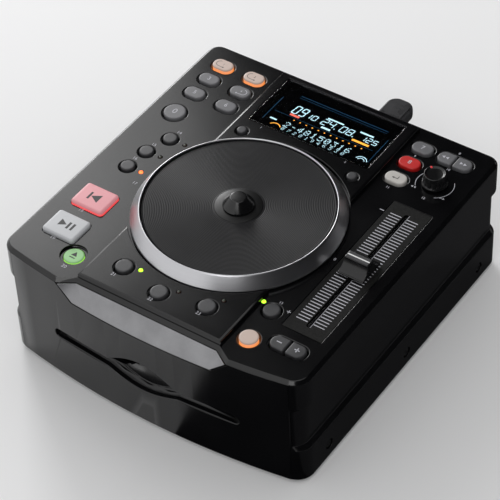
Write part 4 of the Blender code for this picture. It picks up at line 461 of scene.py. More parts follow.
def settle(item):
    """Keep flats flat and edges crisp in the shading of a cut piece."""
    item.data.shade_smooth()
    item.data.set_sharp_from_angle(angle=math.radians(40))
    item.modifiers.new("shading", "WEIGHTED_NORMAL").keep_sharp = True


def lathed(bm, profile, centre, steps, direction=Vector((0, 0, 1))):
    """Spin a profile of (radius, height) points about an axis through centre."""
    before = set(bm.verts)
    verts = [bm.verts.new((point[0], 0, point[1])) for point in profile]
    edges = [bm.edges.new(pair) for pair in zip(verts, verts[1:])]
    bmesh.ops.spin(bm, geom=verts + edges, cent=(0, 0, 0), axis=(0, 0, 1), angle=math.tau, steps=steps,
                   use_merge=True)
    new = [vert for vert in bm.verts if vert not in before]
    bmesh.ops.remove_doubles(bm, verts=new, dist=0.0005 * MM)
    new = [vert for vert in bm.verts if vert not in before]
    turn_to = direction.to_track_quat("Z", "Y").to_matrix().to_4x4()
    bmesh.ops.transform(bm, verts=new, matrix=Matrix.Translation(centre) @ turn_to)


def block(bm, low, high):
    """Straight-sided cutter between two corners."""
    low, high = Vector(low), Vector(high)
    bmesh.ops.create_cube(bm, size=1, matrix=Matrix.Translation((low + high) / 2) @
                          Matrix.Diagonal((*(high - low), 1)))


def rim_profile(gap, deck, inner, rim=RIM_OUT, depth=RIM_DEPTH):
    """Profile of a hole's cutter, measured from a cap's edge, with a soft flared rim."""
    low = [(inner, deck - CUT_OVER), (gap, deck - CUT_OVER), (gap, deck - depth)]
    if rim > 0:
        low += [(gap + rim * 0.10, deck - depth * 0.82), (gap + rim * 0.80, deck - depth * 0.14),
                (gap + rim, deck - 0.04 * MM), (gap + rim * 1.25, deck + 0.008 * MM)]
    return low + [(gap + rim * 1.25, deck + CUT_OVER), (inner, deck + CUT_OVER)]


case_black = grained("case_black", (0.0018, 0.0018, 0.0022), (0.0030, 0.0030, 0.0035), (0.14, 0.18), specular=0.5,
                     size=3200.0, drift=30.0, relief=0.002 * MM)
shell = eased([(0, 7 * MM, z_deck), (0, CASE_CHAMFER, z_deck), (0, 0, z_deck - CASE_CHAMFER), (0, 0, LIP_Z),
               (SIDE_IN, 0, LIP_Z - SIDE_RAMP), (SIDE_IN, 0, BAND_Z + SIDE_RAMP), (0, 0, BAND_Z), (0, 0, BASE_Z),
               (0, CASE_WALL, BASE_Z), (0, CASE_WALL, BAND_Z - CASE_WALL),
               (SIDE_IN, CASE_WALL, BAND_Z + SIDE_RAMP - CASE_WALL), (SIDE_IN, CASE_WALL, z_deck - DECK_T)],
              MOULD_R)
bm = bmesh.new()
lofted(bm, [case_loop(*level) for level in shell])
housing = link_mesh("case_moulding", bm, case_black)

bm = bmesh.new()
rise = eased([(0, z_deck - 2 * MM), (0, z_island - 1.2 * MM), (0.35 * MM, z_island - 0.5 * MM),
              (1.6 * MM, z_island), (7 * MM, z_island)], 0.3 * MM)
lofted(bm, [[(-ISLAND_HALF + inward, ISLAND_FRONT + inward, z), (ISLAND_HALF - inward, ISLAND_FRONT + inward, z),
             (ISLAND_HALF - inward, ISLAND_REAR - inward, z), (-ISLAND_HALF + inward, ISLAND_REAR - inward, z)]
            for inward, z in rise])
island = link_mesh("island_guide", bm)
bm = bmesh.new()
lathed(bm, [(0, z_deck - CUT_OVER), (WELL_R, z_deck - CUT_OVER), (WELL_R, z_island - 0.5 * MM),
            (WELL_R + 0.08 * MM, z_island - 0.22 * MM), (WELL_R + 0.24 * MM, z_island - 0.06 * MM),
            (WELL_R + 0.5 * MM, z_island + 0.006 * MM), (WELL_R + 0.5 * MM, z_island + CUT_OVER),
            (0, z_island + CUT_OVER)], well_centre, 192)
combine_smooth(island, bm)
bm = bmesh.new()
bm.from_mesh(island.data)
bpy.data.objects.remove(island)
combine_smooth(housing, bm, "UNION")

bm = bmesh.new()
for name, facts in caps.items():
    if name in RIGHT_HALVES:
        continue
    deck = z_island if name in ("brake", "dump", "reverse", "time", "sync") else z_deck
    hole = dict(facts)
    inner = -END_R - facts["left"]
    if name in LEFT_HALVES:
        hole["width"] = 2 * facts["width"] + PAIR_SPLIT
        hole["centre"] = facts["centre"] + Vector(((facts["width"] + PAIR_SPLIT) / 2, 0, 0))
        hole["right"] = END_R
    if name == "eject":
        outer = EJECT_WELL_R - facts["left"]
        outline = [(inner, deck - CUT_OVER), (CAP_GAP, deck - CUT_OVER), (CAP_GAP, deck - EJECT_WELL_D),
                   (outer - 0.3 * MM, deck - EJECT_WELL_D), (outer, deck - EJECT_WELL_D + 0.3 * MM),
                   (outer, deck - 0.25 * MM), (outer + 0.06 * MM, deck - 0.08 * MM),
                   (outer + 0.22 * MM, deck + 0.008 * MM),
                   (outer + 0.22 * MM, deck + CUT_OVER), (inner, deck + CUT_OVER)]
    elif name in PADS:
        outline = rim_profile(CAP_GAP, deck, inner, 0.1 * MM, 0.1 * MM)
    else:
        outline = rim_profile(CAP_GAP, deck, inner)
    moulded_round(bm, hole, outline)
for degrees, orbit, shine in LAMPS:
    angle = math.radians(degrees)
    deck = z_island if 240 < degrees < 300 else z_deck
    lathed(bm, rim_profile(LAMP_HOLE_R, deck, 0, 0.12 * MM, 0.12 * MM),
           well_centre + Vector((orbit * MM * math.cos(angle), orbit * MM * math.sin(angle), 0)), 20)
knob_low, knob_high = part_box("parameter_knob")
knob_centre = Vector(((knob_low.x + knob_high.x) / 2, (knob_low.y + knob_high.y) / 2, 0))
lathed(bm, rim_profile(KNOB_HOLE_R, z_deck, 0, 0.3 * MM, 0.3 * MM), knob_centre, 40)
lathed(bm, rim_profile(HUB_HOLE_R, z_deck, 0, 0.3 * MM, 0.3 * MM), well_centre, 40)
combine_smooth(housing, bm)

bm = bmesh.new()
for node, deck, corner in (("fader_plate", z_deck, 1.0 * MM), ("display_window", z_island, 1.5 * MM)):
    low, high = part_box(node)
    seat = {"centre": (low + high) / 2, "width": high.x - low.x, "depth": high.y - low.y, "left": corner,
            "right": corner}
    floor_z = low.z - 0.3 * MM
    moulded_round(bm, seat, [(-corner * 2, floor_z), (0.3 * MM, floor_z), (0.3 * MM, deck - 0.3 * MM),
                             (0.42 * MM, deck - 0.08 * MM), (0.7 * MM, deck + 0.008 * MM),
                             (0.7 * MM, deck + CUT_OVER), (-corner * 2, deck + CUT_OVER)])
combine_smooth(housing, bm)
bm = bmesh.new()
fader_low, fader_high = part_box("fader_plate")
FADER_X = (fader_low.x + fader_high.x) / 2
block(bm, (FADER_X - 4 * MM, fader_low.y + 6 * MM, z_deck - CUT_OVER),
      (FADER_X + 4 * MM, fader_high.y - 6 * MM, z_deck - 0.6 * MM))
module_low, module_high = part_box("display_module")
block(bm, module_low - Vector((0.3, 0.3, 0)) * MM, module_high + Vector((0.3, 0.3, 1.0)) * MM)
block(bm, (-101.3 * MM, FRONT_Y - CUT_OVER, BASE_Z - CUT_OVER),
      (101.3 * MM, FRONT_Y + 15.2 * MM, z_deck - CASE_CHAMFER))
block(bm, (-92 * MM, REAR_Y - CASE_WALL - CUT_OVER / 2, BASE_Z - CUT_OVER), (92 * MM, REAR_Y + CUT_OVER, 75 * MM))
combine_smooth(housing, bm)
bm = bmesh.new()
lean = math.atan2((62.2 - 51.3) * MM, 9.9 * MM - (front_line(62.2 * MM) - FRONT_Y))
notch = []
for grow, z in ((0, z_deck - CASE_CHAMFER - CUT_OVER / 2), (0, z_deck - CASE_CHAMFER),
                (CASE_CHAMFER + CUT_OVER / 2, z_deck + CUT_OVER / 2)):
    rear = FRONT_Y + 9.9 * MM + grow
    inner = 51.3 * MM + grow * (1 - math.sin(lean)) / math.cos(lean)
    outer = inner + (rear - FRONT_Y + CUT_OVER / 2) * math.tan(lean)
    front = FRONT_Y - CUT_OVER / 2
    notch.append([(-outer, front, z), (outer, front, z), (inner, rear, z), (-inner, rear, z)])
lofted(bm, notch)
combine_smooth(housing, bm)
bm = bmesh.new()
for place in SCREW_PLACES:
    out = Vector((math.copysign(1, place.x), 0, 0))
    lathed(bm, [(0, -0.1 * MM), (POCKET_R, -0.1 * MM), (POCKET_R, 1.1 * MM), (POCKET_R + 0.1 * MM, 1.27 * MM),
                (POCKET_R + 0.35 * MM, 1.308 * MM), (POCKET_R + 0.35 * MM, 3 * MM), (0, 3 * MM)], place, 40, out)
combine_smooth(housing, bm)
settle(housing)
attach(housing, "case")
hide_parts("upper_housing")

# Front bezel: the bowed front is its own moulding, with the disc slot, its lens-shaped finger
# scoop and the seat of the name plate. It has the housing's finish, a touch smoother.

SLOT_Z, SLOT_HALF, SLOT_RISE = 39.5 * MM, 68.2 * MM, 3.1 * MM
SCOOP_HALF, SCOOP_UP, SCOOP_DOWN = 25.5 * MM, 10.4 * MM, 6.1 * MM
THROAT_DEPTH = 13.0 * MM
MOUTH_STEPS = 16
EDGE_R = 0.28 * MM


def break_edges(item, width, segments=2):
    """Small radii on every sharp edge, with the flats kept flat in the shading."""
    step = item.modifiers.new("edges", "BEVEL")
    step.width = width
    step.segments = segments
    step.limit_method = "ANGLE"
    step.angle_limit = math.radians(34)
    step.use_clamp_overlap = False
    step.harden_normals = True
    step.miter_outer = "MITER_ARC"


def mouth_outline(grow):
    """Outline of the slot and the scoop seen from the front, clockwise, moved out by grow."""
    points = []
    straight = SLOT_HALF - SLOT_RISE
    for side in (-1, 1):
        for step in range(MOUTH_STEPS + 1):
            angle = math.pi / 2 * (-side) + math.pi * step / MOUTH_STEPS
            points.append((side * straight + SLOT_RISE * math.cos(angle), SLOT_Z + SLOT_RISE * math.sin(angle)))
        drop = -SCOOP_DOWN if side < 0 else SCOOP_UP
        for step in range(2 * MOUTH_STEPS + 1):
            share = -side * (step / MOUTH_STEPS - 1)
            points.append((share * SCOOP_HALF,
                           SLOT_Z + side * SLOT_RISE + drop * math.cos(math.pi / 2 * share)))
    points = [Vector(point) for point in points]
    grown = []
    for index, point in enumerate(points):
        run = points[(index + 1) % len(points)] - points[index - 1]
        grown.append(point + Vector((run.y, -run.x)).normalized() * grow)
    return grown


bezel_black = grained("bezel_black", (0.0026, 0.0026, 0.0031), (0.0042, 0.0042, 0.0048), (0.20, 0.26),
                      size=3200.0, drift=25.0, relief=0.002 * MM)
bezel = link_mesh("front_moulding", merged_copy("front_bezel", False), bezel_black)
bm = bmesh.new()
lofted(bm, [[(point.x, front_line(point.x) + depth * MM, point.y) for point in mouth_outline(grow * MM)]
            for grow, depth in ((1.0, -2.0), (1.0, -0.01), (0.66, 0.05), (0.42, 0.22), (0.28, 0.55), (0.24, 1.0),
                                (0.24, 3.2))])
combine_smooth(bezel, bm)
bm = bmesh.new()
bowl = []
for depth, width in ((-0.05, 0.97), (0.15, 0.94), (0.35, 0.88), (0.5, 0.8), (0.65, 0.68), (0.78, 0.54), (0.88, 0.4),
                     (0.97, 0.17)):
    loop = []
    for side in (-1, 1):
        reach = SLOT_RISE + (SCOOP_DOWN if side < 0 else SCOOP_UP)
        for step in range(2 * MOUTH_STEPS):
            share = -side * (1 - step / MOUTH_STEPS)
            loop.append((share * SCOOP_HALF * width, FRONT_Y + CASE_WALL + depth * THROAT_DEPTH,
                         SLOT_Z + side * reach * width * math.cos(math.pi / 2 * share)))
    bowl.append(loop)
lofted(bm, bowl)
combine_smooth(bezel, bm)
settle(bezel)
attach(bezel, "case")
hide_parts("front_bezel")

# Name plate: satin-painted metal facet let into the front's upper edge, left bare. Its paint
# has a fine metallic fleck.

plate_satin = grained("plate_satin", (0.22, 0.22, 0.228), (0.31, 0.31, 0.32), (0.30, 0.38), 0.9,
                      size=2400.0, drift=60.0, relief=0.004 * MM)
plate = link_mesh("bare_plate", merged_copy("name_plate"), plate_satin)
break_edges(plate, EDGE_R * 1.2)
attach(plate, "case")
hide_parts("name_plate")

# Case screws: black pan heads with a cross recess, three in the pockets of either side wall.

SCREW_R = 2.9 * MM
screw_black = grained("screw_black", (0.014, 0.014, 0.015), (0.03, 0.03, 0.032), (0.3, 0.42), 0.6,
                      size=1500.0, drift=300.0, relief=0.01 * MM)
bm = bmesh.new()
for place in SCREW_PLACES:
    out = Vector((math.copysign(1, place.x), 0, 0))
    lathed(bm, [(0, 0.35 * MM), (0.5 * MM, 0.35 * MM), (0.5 * MM, 0.85 * MM), (1.5 * MM, 0.95 * MM),
                (2.5 * MM, 0.65 * MM), (SCREW_R, 0), (SCREW_R, -0.05 * MM), (0, -0.05 * MM)], place, 28, out)
screws = link_mesh("case_screws", bm, screw_black)
bm = bmesh.new()
for place in SCREW_PLACES:
    for size in ((0.8, 3.0, 0.7), (0.8, 0.7, 3.0)):
        bmesh.ops.create_cube(bm, size=MM, matrix=Matrix.Translation(
            place + Vector((math.copysign(0.95 * MM, place.x), 0, 0))) @ Matrix.Diagonal((*size, 1)))
combine_smooth(screws, bm)
screws.data.materials.append(screw_black)
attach(screws, "case")

# Boards under the deck and inside: green glass-fibre laminate with black and metal components,
# and the loader's plated sheet metal. They show only through the gaps and the disc slot.

board_green = grained("board_green", (0.012, 0.06, 0.03), (0.03, 0.11, 0.055), (0.35, 0.5), size=900.0,
                      drift=260.0, relief=0.02 * MM)
inner_black = grained("inner_black", (0.010, 0.010, 0.011), (0.018, 0.018, 0.019), (0.45, 0.6), size=1500.0)
loader_steel = grained("loader_steel", (0.10, 0.10, 0.105), (0.17, 0.17, 0.175), (0.34, 0.5), 1.0, size=700.0,
                       drift=90.0, relief=0.01 * MM)
roller_rubber = grained("roller_rubber", (0.02, 0.02, 0.021), (0.034, 0.034, 0.035), (0.6, 0.75), size=1600.0)
for node in ("key_board", "main_board"):
    dress(node, board_green)
for node in ("pickup_sled", "spindle_turntable", "encoder_rotor", "fader_carriage"):
    dress(node, inner_black)
for node in ("loader_frame", "loader_cover"):
    dress(node, loader_steel)
for node in ("fader_body", "platter_shaft", "encoder_shaft"):
    dress(node, zinc)
dress("feed_roller", roller_rubber)

# Rear panel: black-painted steel held by small screws.

PANEL_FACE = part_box("rear_panel")[1].y
PANEL_SCREWS = ((-90.5, 70.0), (-90.5, 14.0), (-36.0, 14.0), (62.0, 70.0), (62.0, 14.0), (90.5, 70.0), (90.5, 14.0))
BACKWARD = Vector((0, 1, 0))
panel_paint = grained("panel_paint", (0.011, 0.011, 0.012), (0.018, 0.018, 0.019), (0.42, 0.52),
                      size=2600.0, drift=70.0, relief=0.03 * MM)
dress("rear_panel", panel_paint)
bm = bmesh.new()
for x, z in PANEL_SCREWS:
    place = Vector((x * MM, PANEL_FACE, z * MM))
    lathed(bm, [(0, 0.55 * MM), (0.55 * MM, 0.55 * MM), (0.6 * MM, 1.1 * MM), (1.5 * MM, 1.15 * MM),
                (2.4 * MM, 0.8 * MM), (2.8 * MM, 0.1 * MM), (2.8 * MM, 0.02 * MM), (0, 0.02 * MM)], place, 24, BACKWARD)
panel_screws = link_mesh("panel_screws", bm, screw_black)
bm = bmesh.new()
for x, z in PANEL_SCREWS:
    for size in ((3.0, 0.8, 0.6), (0.6, 0.8, 3.0)):
        bmesh.ops.create_cube(bm, size=MM, matrix=Matrix.Translation((x * MM, PANEL_FACE + 1.1 * MM, z * MM)) @
                              Matrix.Diagonal((*size, 1)))
combine_smooth(panel_screws, bm)
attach(panel_screws, "case")

# Rear sockets: nickel-plated phono jacks with coloured insulators, in threaded collars, a small
# remote jack and two data ports with folded shells, all on one riser board behind the panel.

JACKS = ((0, 29.0, 1), (0, 44.5, 2), (-15.0, 29.0, 1), (-15.0, 44.5, 2), (30.0, 29.0, 3))
JACK_R, JACK_OUT = 4.15 * MM, 8.5 * MM
nickel = grained("nickel_plate", (0.52, 0.51, 0.49), (0.64, 0.63, 0.60), (0.16, 0.26), 1.0, size=1200.0,
                 drift=200.0, relief=0.004 * MM)
insulators = [grained("insulator_" + label, dark, pale, (0.3, 0.4), size=2000.0, drift=300.0)
              for label, dark, pale in (("red", (0.50, 0.02, 0.02), (0.60, 0.03, 0.03)),
                                        ("white", (0.62, 0.62, 0.60), (0.72, 0.72, 0.70)),
                                        ("black", (0.014, 0.014, 0.015), (0.022, 0.022, 0.023)))]


def paint_new(bm, before, index):
    """Give the faces drawn since the set before was taken their material."""
    for face in bm.faces:
        if face not in before:
            face.material_index = index


bm = merged_copy("rear_sockets")
bmesh.ops.bisect_plane(bm, geom=bm.verts[:] + bm.edges[:] + bm.faces[:], dist=0.001 * MM,
                       plane_co=(0, PANEL_FACE + 0.6 * MM, 0), plane_no=BACKWARD, clear_outer=True)
bmesh.ops.holes_fill(bm, edges=[edge for edge in bm.edges if edge.is_boundary], sides=0)
riser_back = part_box("rear_sockets")[0].y + 1.7 * MM
for face in bm.faces:
    middle = face.calc_center_median()
    face.material_index = 0 if middle.y < riser_back else 2 if middle.z > 58 * MM and middle.x > 5 * MM else 1
block_piece = link_mesh("socket_block", bm, board_green, inner_black, nickel)
break_edges(block_piece, 0.12 * MM)
bm = bmesh.new()
for x, z, kind in JACKS:
    place = Vector((x * MM, PANEL_FACE, z * MM))
    before = set(bm.faces)
    lathed(bm, eased([(3.9 * MM, 0.05 * MM), (5.6 * MM, 0.05 * MM), (5.4 * MM, 1.7 * MM), (3.9 * MM, 1.9 * MM)],
                     0.3 * MM), place, 40, BACKWARD)
    paint_new(bm, before, kind)
    before = set(bm.faces)
    lathed(bm, eased([(3.9 * MM, 0.3 * MM), (JACK_R, 0.3 * MM), (JACK_R, JACK_OUT), (3.3 * MM, JACK_OUT),
                      (3.2 * MM, JACK_OUT - 1.3 * MM)], 0.22 * MM), place, 40, BACKWARD)
    paint_new(bm, before, 0 if kind < 3 else 3)
    before = set(bm.faces)
    lathed(bm, eased([(3.3 * MM, JACK_OUT - 1.2 * MM), (1.9 * MM, JACK_OUT - 1.0 * MM),
                      (1.7 * MM, JACK_OUT - 1.4 * MM), (1.7 * MM, 1.0 * MM), (0, 1.0 * MM)], 0.15 * MM), place, 40, BACKWARD)
    paint_new(bm, before, kind)
jacks = link_mesh("phono_jacks", bm, nickel, *insulators)
for part in (block_piece, jacks):
    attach(part, "case")
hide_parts("rear_sockets")

# Mains inlet: a black two-pin socket with nickel pins. The power button beside it is a pale
# push-push cap that rides on its own body.

inlet_low, inlet_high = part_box("mains_inlet")
inlet_mid = (inlet_low + inlet_high) / 2
PIN_X = 4.3 * MM
bm = merged_copy("mains_inlet")
for face in bm.faces:
    middle = face.calc_center_median()
    if abs(middle.z - inlet_mid.z) < 1.3 * MM and abs(abs(middle.x - inlet_mid.x) - PIN_X) < 1.3 * MM:
        face.material_index = 1
inlet = link_mesh("mains_socket", bm, inner_black, nickel)
break_edges(inlet, 0.3 * MM)
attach(inlet, "case")
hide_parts("mains_inlet")
power_cap = link_mesh("power_cap", merged_copy("power_button"),
                      grained("power_grey", (0.05, 0.05, 0.053), (0.07, 0.07, 0.073), (0.38, 0.46), size=2200.0,
                              drift=150.0))
break_edges(power_cap, 0.5 * MM, 3)
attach(power_cap, "power")
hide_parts("power_button")

# Memory stick: a grey shell with a black insert let into its top and a rounded free end, pushed
# into the rear port. Its nickel plug is hidden in the port.

stick_low, stick_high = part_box("memory_stick")
STICK_X = 17.0 * MM
STICK_HALF_W, STICK_HALF_H = 9.5 * MM, 4.0 * MM
STICK_END_R = 7.5 * MM
INSERT_IN, INSERT_DROP = 2.2 * MM, 0.25 * MM
INK_T = 0.05 * MM
stick_start = PANEL_FACE + 0.6 * MM
stick_z = (stick_low.z + stick_high.z) / 2
stick_grey = grained("stick_grey", (0.035, 0.035, 0.037), (0.055, 0.055, 0.058), (0.24, 0.32), 0.2, size=1800.0,
                     drift=120.0, relief=0.006 * MM)
stick_black = grained("stick_black", (0.012, 0.012, 0.013), (0.02, 0.02, 0.021), (0.2, 0.3), size=2400.0,
                      drift=120.0, relief=0.006 * MM)


def stick_loop(inward, z, back=stick_start, steps=12):
    """Plan loop of the stick: square at its port, rounded at its free end."""
    half = STICK_HALF_W - inward
    radius = STICK_END_R - inward
    points = [(STICK_X - half, back, z), (STICK_X + half, back, z)]
    for corner in (0, 1):
        for step in range(steps + 1):
            angle = math.pi / 2 * (corner + step / steps)
            points.append((STICK_X + (half - radius) * (1 - 2 * corner) + radius * math.cos(angle),
                           stick_high.y - inward - radius + radius * math.sin(angle), z))
    return points


bm = bmesh.new()
lofted(bm, [stick_loop(inward, stick_z + z) for inward, z in eased(
    [(4 * MM, -STICK_HALF_H), (0.3 * MM, -STICK_HALF_H), (0, -STICK_HALF_H * 0.5), (0, STICK_HALF_H * 0.5),
     (0.3 * MM, STICK_HALF_H), (4 * MM, STICK_HALF_H)], 1.1 * MM, 6)])
stick = link_mesh("stick_body", bm, stick_grey)
bm = bmesh.new()
lofted(bm, [stick_loop(INSERT_IN + grow * MM, stick_z + STICK_HALF_H + z * MM, stick_start + 3 * MM)
            for grow, z in ((0.25, -0.6), (0, -0.25), (-0.2, 0.01), (-0.2, 1.0))])
combine_smooth(stick, bm)
settle(stick)
bm = bmesh.new()
lofted(bm, [stick_loop(INSERT_IN + (0.3 + grow) * MM, stick_z + STICK_HALF_H + z * MM, stick_start + 3.3 * MM)
            for grow, z in ((0, -0.62), (0, -0.3), (0.1, -0.22), (0.3, -0.2))])
for x, wide in ((-4.2, 2.2), (-1.4, 1.2), (0.8, 2.6), (3.8, 1.4)):
    before = set(bm.faces)
    bmesh.ops.create_cube(bm, size=MM, matrix=Matrix.Translation(
        (STICK_X + x * MM, stick_high.y - 13 * MM, stick_z + STICK_HALF_H - 0.18 * MM)) @
        Matrix.Diagonal((wide, 0.9, 0.05, 1)))
    paint_new(bm, before, 1)
insert = link_mesh("stick_insert", bm, stick_black, stick_grey)
bm = bmesh.new()
low = Vector((STICK_X - 6.1 * MM, stick_low.y, stick_z - 2.5 * MM))
high = Vector((STICK_X + 6.1 * MM, stick_start + 0.5 * MM, stick_z + 2.5 * MM))
bmesh.ops.create_cube(bm, size=1, matrix=Matrix.Translation((low + high) / 2) @ Matrix.Diagonal((*(high - low), 1)))
bmesh.ops.bevel(bm, geom=bm.edges[:], offset=0.4 * MM, segments=3, profile=0.5, affect="EDGES", material=-1)
plug = link_mesh("stick_plug", bm, nickel)
for part in (stick, insert, plug):
    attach(part, "stick")
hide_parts("memory_stick")

# Lamps: small water-clear and amber domes over the deck beside their buttons, three of them lit.

LAMP_R = 1.3 * MM
LAMP_RISE = 0.55 * MM
LAMP_COLOURS = {"orange": ((1.0, 0.14, 0.03), 3.0), "green": ((0.42, 0.95, 0.03), 2.2)}


def lit(name, colour, strength, base=None, roughness=0.35):
    """Plastic lit from inside at a plain strength."""
    material = grained(name, base or colour, tuple(min(c * 1.1, 1) for c in base or colour),
                       (roughness, roughness + 0.08), size=2000.0, drift=200.0, relief=0.004 * MM)
    shader = material.node_tree.nodes["Principled BSDF"]
    shader.inputs["Emission Color"].default_value = (*colour, 1)
    shader.inputs["Emission Strength"].default_value = strength
    return material


lamp_dark = grained("lamp_dark", (0.02, 0.008, 0.006), (0.03, 0.014, 0.01), (0.12, 0.2), size=2500.0)
lamp_finish = {name: lit("lamp_" + name, colour, strength) for name, (colour, strength) in LAMP_COLOURS.items()}
for index, (degrees, orbit, shine) in enumerate(LAMPS):
    angle = math.radians(degrees)
    on_island = 240 < degrees < 300
    deck = z_island if on_island else z_deck
    centre = well_centre + Vector((orbit * MM * math.cos(angle), orbit * MM * math.sin(angle), deck))
    bm = bmesh.new()
    lathed(bm, [(0, LAMP_RISE), (LAMP_R * 0.5, LAMP_RISE * 0.86), (LAMP_R * 0.86, LAMP_RISE * 0.5), (LAMP_R, 0),
                (LAMP_R, -1.5 * MM), (0, -1.5 * MM)], centre, 24)
    lens = link_mesh(f"lamp_lens_{index + 1}", bm, lamp_finish.get(shine, lamp_dark))
    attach(lens, "case")

# Platter: a turned aluminium ring with a bright lip, a face moulded in fine concentric grooves,
# and a smooth cone in the middle.

RING_R, LIP_R = 67.2 * MM, 61.6 * MM
RING_STEPS = 168
GROOVE_PITCH = 1.05 * MM
GROOVE_DEPTH = 0.16 * MM
GROOVES_FROM, GROOVES_TO = 15.9 * MM, 59.0 * MM

turned, entry, result = effect_group("turned_rings", ("Pitch", "Wobble"), ("Height", "Sheen"))
split = turned.nodes.new("ShaderNodeSeparateXYZ")
turned.links.new(entry.outputs["Place"], split.inputs["Vector"])
squares = []
for axis in "XY":
    square = turned.nodes.new("ShaderNodeMath")
    square.operation = "POWER"
    square.inputs[1].default_value = 2.0
    turned.links.new(split.outputs[axis], square.inputs[0])
    squares.append(square.outputs["Value"])
total = turned.nodes.new("ShaderNodeMath")
turned.links.new(squares[0], total.inputs[0])
turned.links.new(squares[1], total.inputs[1])
radius = turned.nodes.new("ShaderNodeMath")
radius.operation = "SQRT"
turned.links.new(total.outputs["Value"], radius.inputs[0])
along = turned.nodes.new("ShaderNodeMath")
along.operation = "MULTIPLY"
turned.links.new(radius.outputs["Value"], along.inputs[0])
turned.links.new(entry.outputs["Pitch"], along.inputs[1])
wave = turned.nodes.new("ShaderNodeMath")
wave.operation = "SINE"
turned.links.new(along.outputs["Value"], wave.inputs[0])
turned.links.new(wave.outputs["Value"], result.inputs["Height"])
rings_of_tone = turned.nodes.new("ShaderNodeTexNoise")
rings_of_tone.noise_dimensions = "1D"
rings_of_tone.inputs["Detail"].default_value = 4.0
turned.links.new(radius.outputs["Value"], rings_of_tone.inputs["W"])
turned.links.new(entry.outputs["Wobble"], rings_of_tone.inputs["Scale"])
turned.links.new(rings_of_tone.outputs["Fac"], result.inputs["Sheen"])


def turned_metal(name, dark, pale, rough, centre):
    """Lathe-turned metal: fine rings about an axis in relief and in sheen."""
    material = plain_material(name, dark, rough[0], 1.0)
    tree = material.node_tree
    shader = tree.nodes["Principled BSDF"]
    shift = tree.nodes.new("ShaderNodeMapping")
    shift.inputs["Location"].default_value = -centre
    tree.links.new(tree.nodes.new("ShaderNodeTexCoord").outputs["Object"], shift.inputs["Vector"])
    effect = use_group(tree, turned, shift.outputs["Vector"], Pitch=math.tau / (0.6 * MM), Wobble=900.0)
    node_colour(tree, effect.outputs["Sheen"], dark, pale, shader.inputs["Base Color"])
    node_range(tree, effect.outputs["Sheen"], *rough, shader.inputs["Roughness"])
    node_relief(tree, effect.outputs["Height"], 0.0005 * MM, shader)
    return material


ring_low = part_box("platter_ring")[0].z
ring_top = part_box("platter_ring")[1].z
ring_metal = turned_metal("platter_aluminium", (0.50, 0.50, 0.52), (0.58, 0.58, 0.60), (0.28, 0.34), well_centre)
bm = bmesh.new()
lathed(bm, [(20 * MM, ring_low)] + eased(
    [(RING_R - 0.4 * MM, ring_low), (RING_R, ring_low + 0.4 * MM), (RING_R, ring_low + 1.5 * MM),
     (LIP_R + 0.1 * MM, ring_top - 0.5 * MM), (LIP_R - 0.45 * MM, ring_top), (LIP_R - 0.85 * MM, ring_top),
     (LIP_R - 1.3 * MM, ring_top - 0.5 * MM), (LIP_R - 1.6 * MM, ring_low + 1.6 * MM)], 0.35 * MM) +
    [(20 * MM, ring_low + 1.6 * MM), (20 * MM, ring_low)], well_centre, RING_STEPS)
ring = link_mesh("turned_ring", bm, ring_metal)
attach(ring, "platter")
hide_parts("platter_ring")

face_low, face_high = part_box("platter_disc")
face_top = face_high.z - 0.4 * MM
face_r = face_high.x
face_black = grained("platter_face", (0.0045, 0.0045, 0.0055), (0.0070, 0.0070, 0.0080), (0.36, 0.44), specular=0.2,
                     size=1800.0, drift=60.0, relief=0.01 * MM)
centre_black = grained("centre_black", (0.002, 0.002, 0.0022), (0.003, 0.003, 0.0033), (0.3, 0.36), specular=0.3,
                       size=1800.0, relief=0)
profile = [(4 * MM, face_top + 0.35 * MM), (14.6 * MM, face_top + 0.35 * MM), (15.0 * MM, face_top + 0.2 * MM),
           (15.2 * MM, face_top)]
step_count = int((GROOVES_TO - GROOVES_FROM) / GROOVE_PITCH)
for step in range(step_count):
    start = GROOVES_FROM + step * GROOVE_PITCH
    profile += [(start + GROOVE_PITCH * share, face_top - GROOVE_DEPTH * drop)
                for share, drop in ((0.0, 0.0), (0.25, 0.5), (0.5, 1.0), (0.75, 0.5))]
profile += [(GROOVES_TO, face_top), (face_r - 0.5 * MM, face_top), (face_r - 0.1 * MM, face_top - 0.35 * MM),
            (face_r, face_top - 0.9 * MM), (face_r, face_low.z), (4 * MM, face_low.z),
            (4 * MM, face_top + 0.35 * MM)]
bm = bmesh.new()
lathed(bm, profile, well_centre, RING_STEPS)
for face in bm.faces:
    if (face.calc_center_median() - well_centre).to_2d().length < 15.1 * MM:
        face.material_index = 1
face = link_mesh("grooved_face", bm, face_black, centre_black)
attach(face, "platter")
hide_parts("platter_disc")

cone_low, cone_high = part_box("platter_cone")
CONE_R = cone_high.x
CONE_TOP_R = 5.5 * MM
cone_black = grained("cone_black", (0.003, 0.003, 0.0035), (0.005, 0.005, 0.0055), (0.16, 0.22), size=2400.0,
                     drift=80.0, relief=0.002 * MM)
profile = [(0, cone_low.z)] + eased(
    [(CONE_R - 0.3 * MM, cone_low.z), (CONE_R, cone_low.z + 0.3 * MM), (CONE_R, cone_low.z + 0.8 * MM),
     (CONE_TOP_R, cone_high.z - 0.5 * MM), (CONE_TOP_R - 0.6 * MM, cone_high.z), (0.5 * MM, cone_high.z)],
    0.45 * MM) + [(0, cone_high.z)]
bm = bmesh.new()
lathed(bm, profile, well_centre, 72)
cone = link_mesh("centre_cone", bm, cone_black)
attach(cone, "platter")
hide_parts("platter_cone")

# Display: a fluorescent display glows through a smoked acrylic pane. Its digits are seven-segment
# and dot-matrix figures, with blue frame lines, an orange row of dots and small bars.

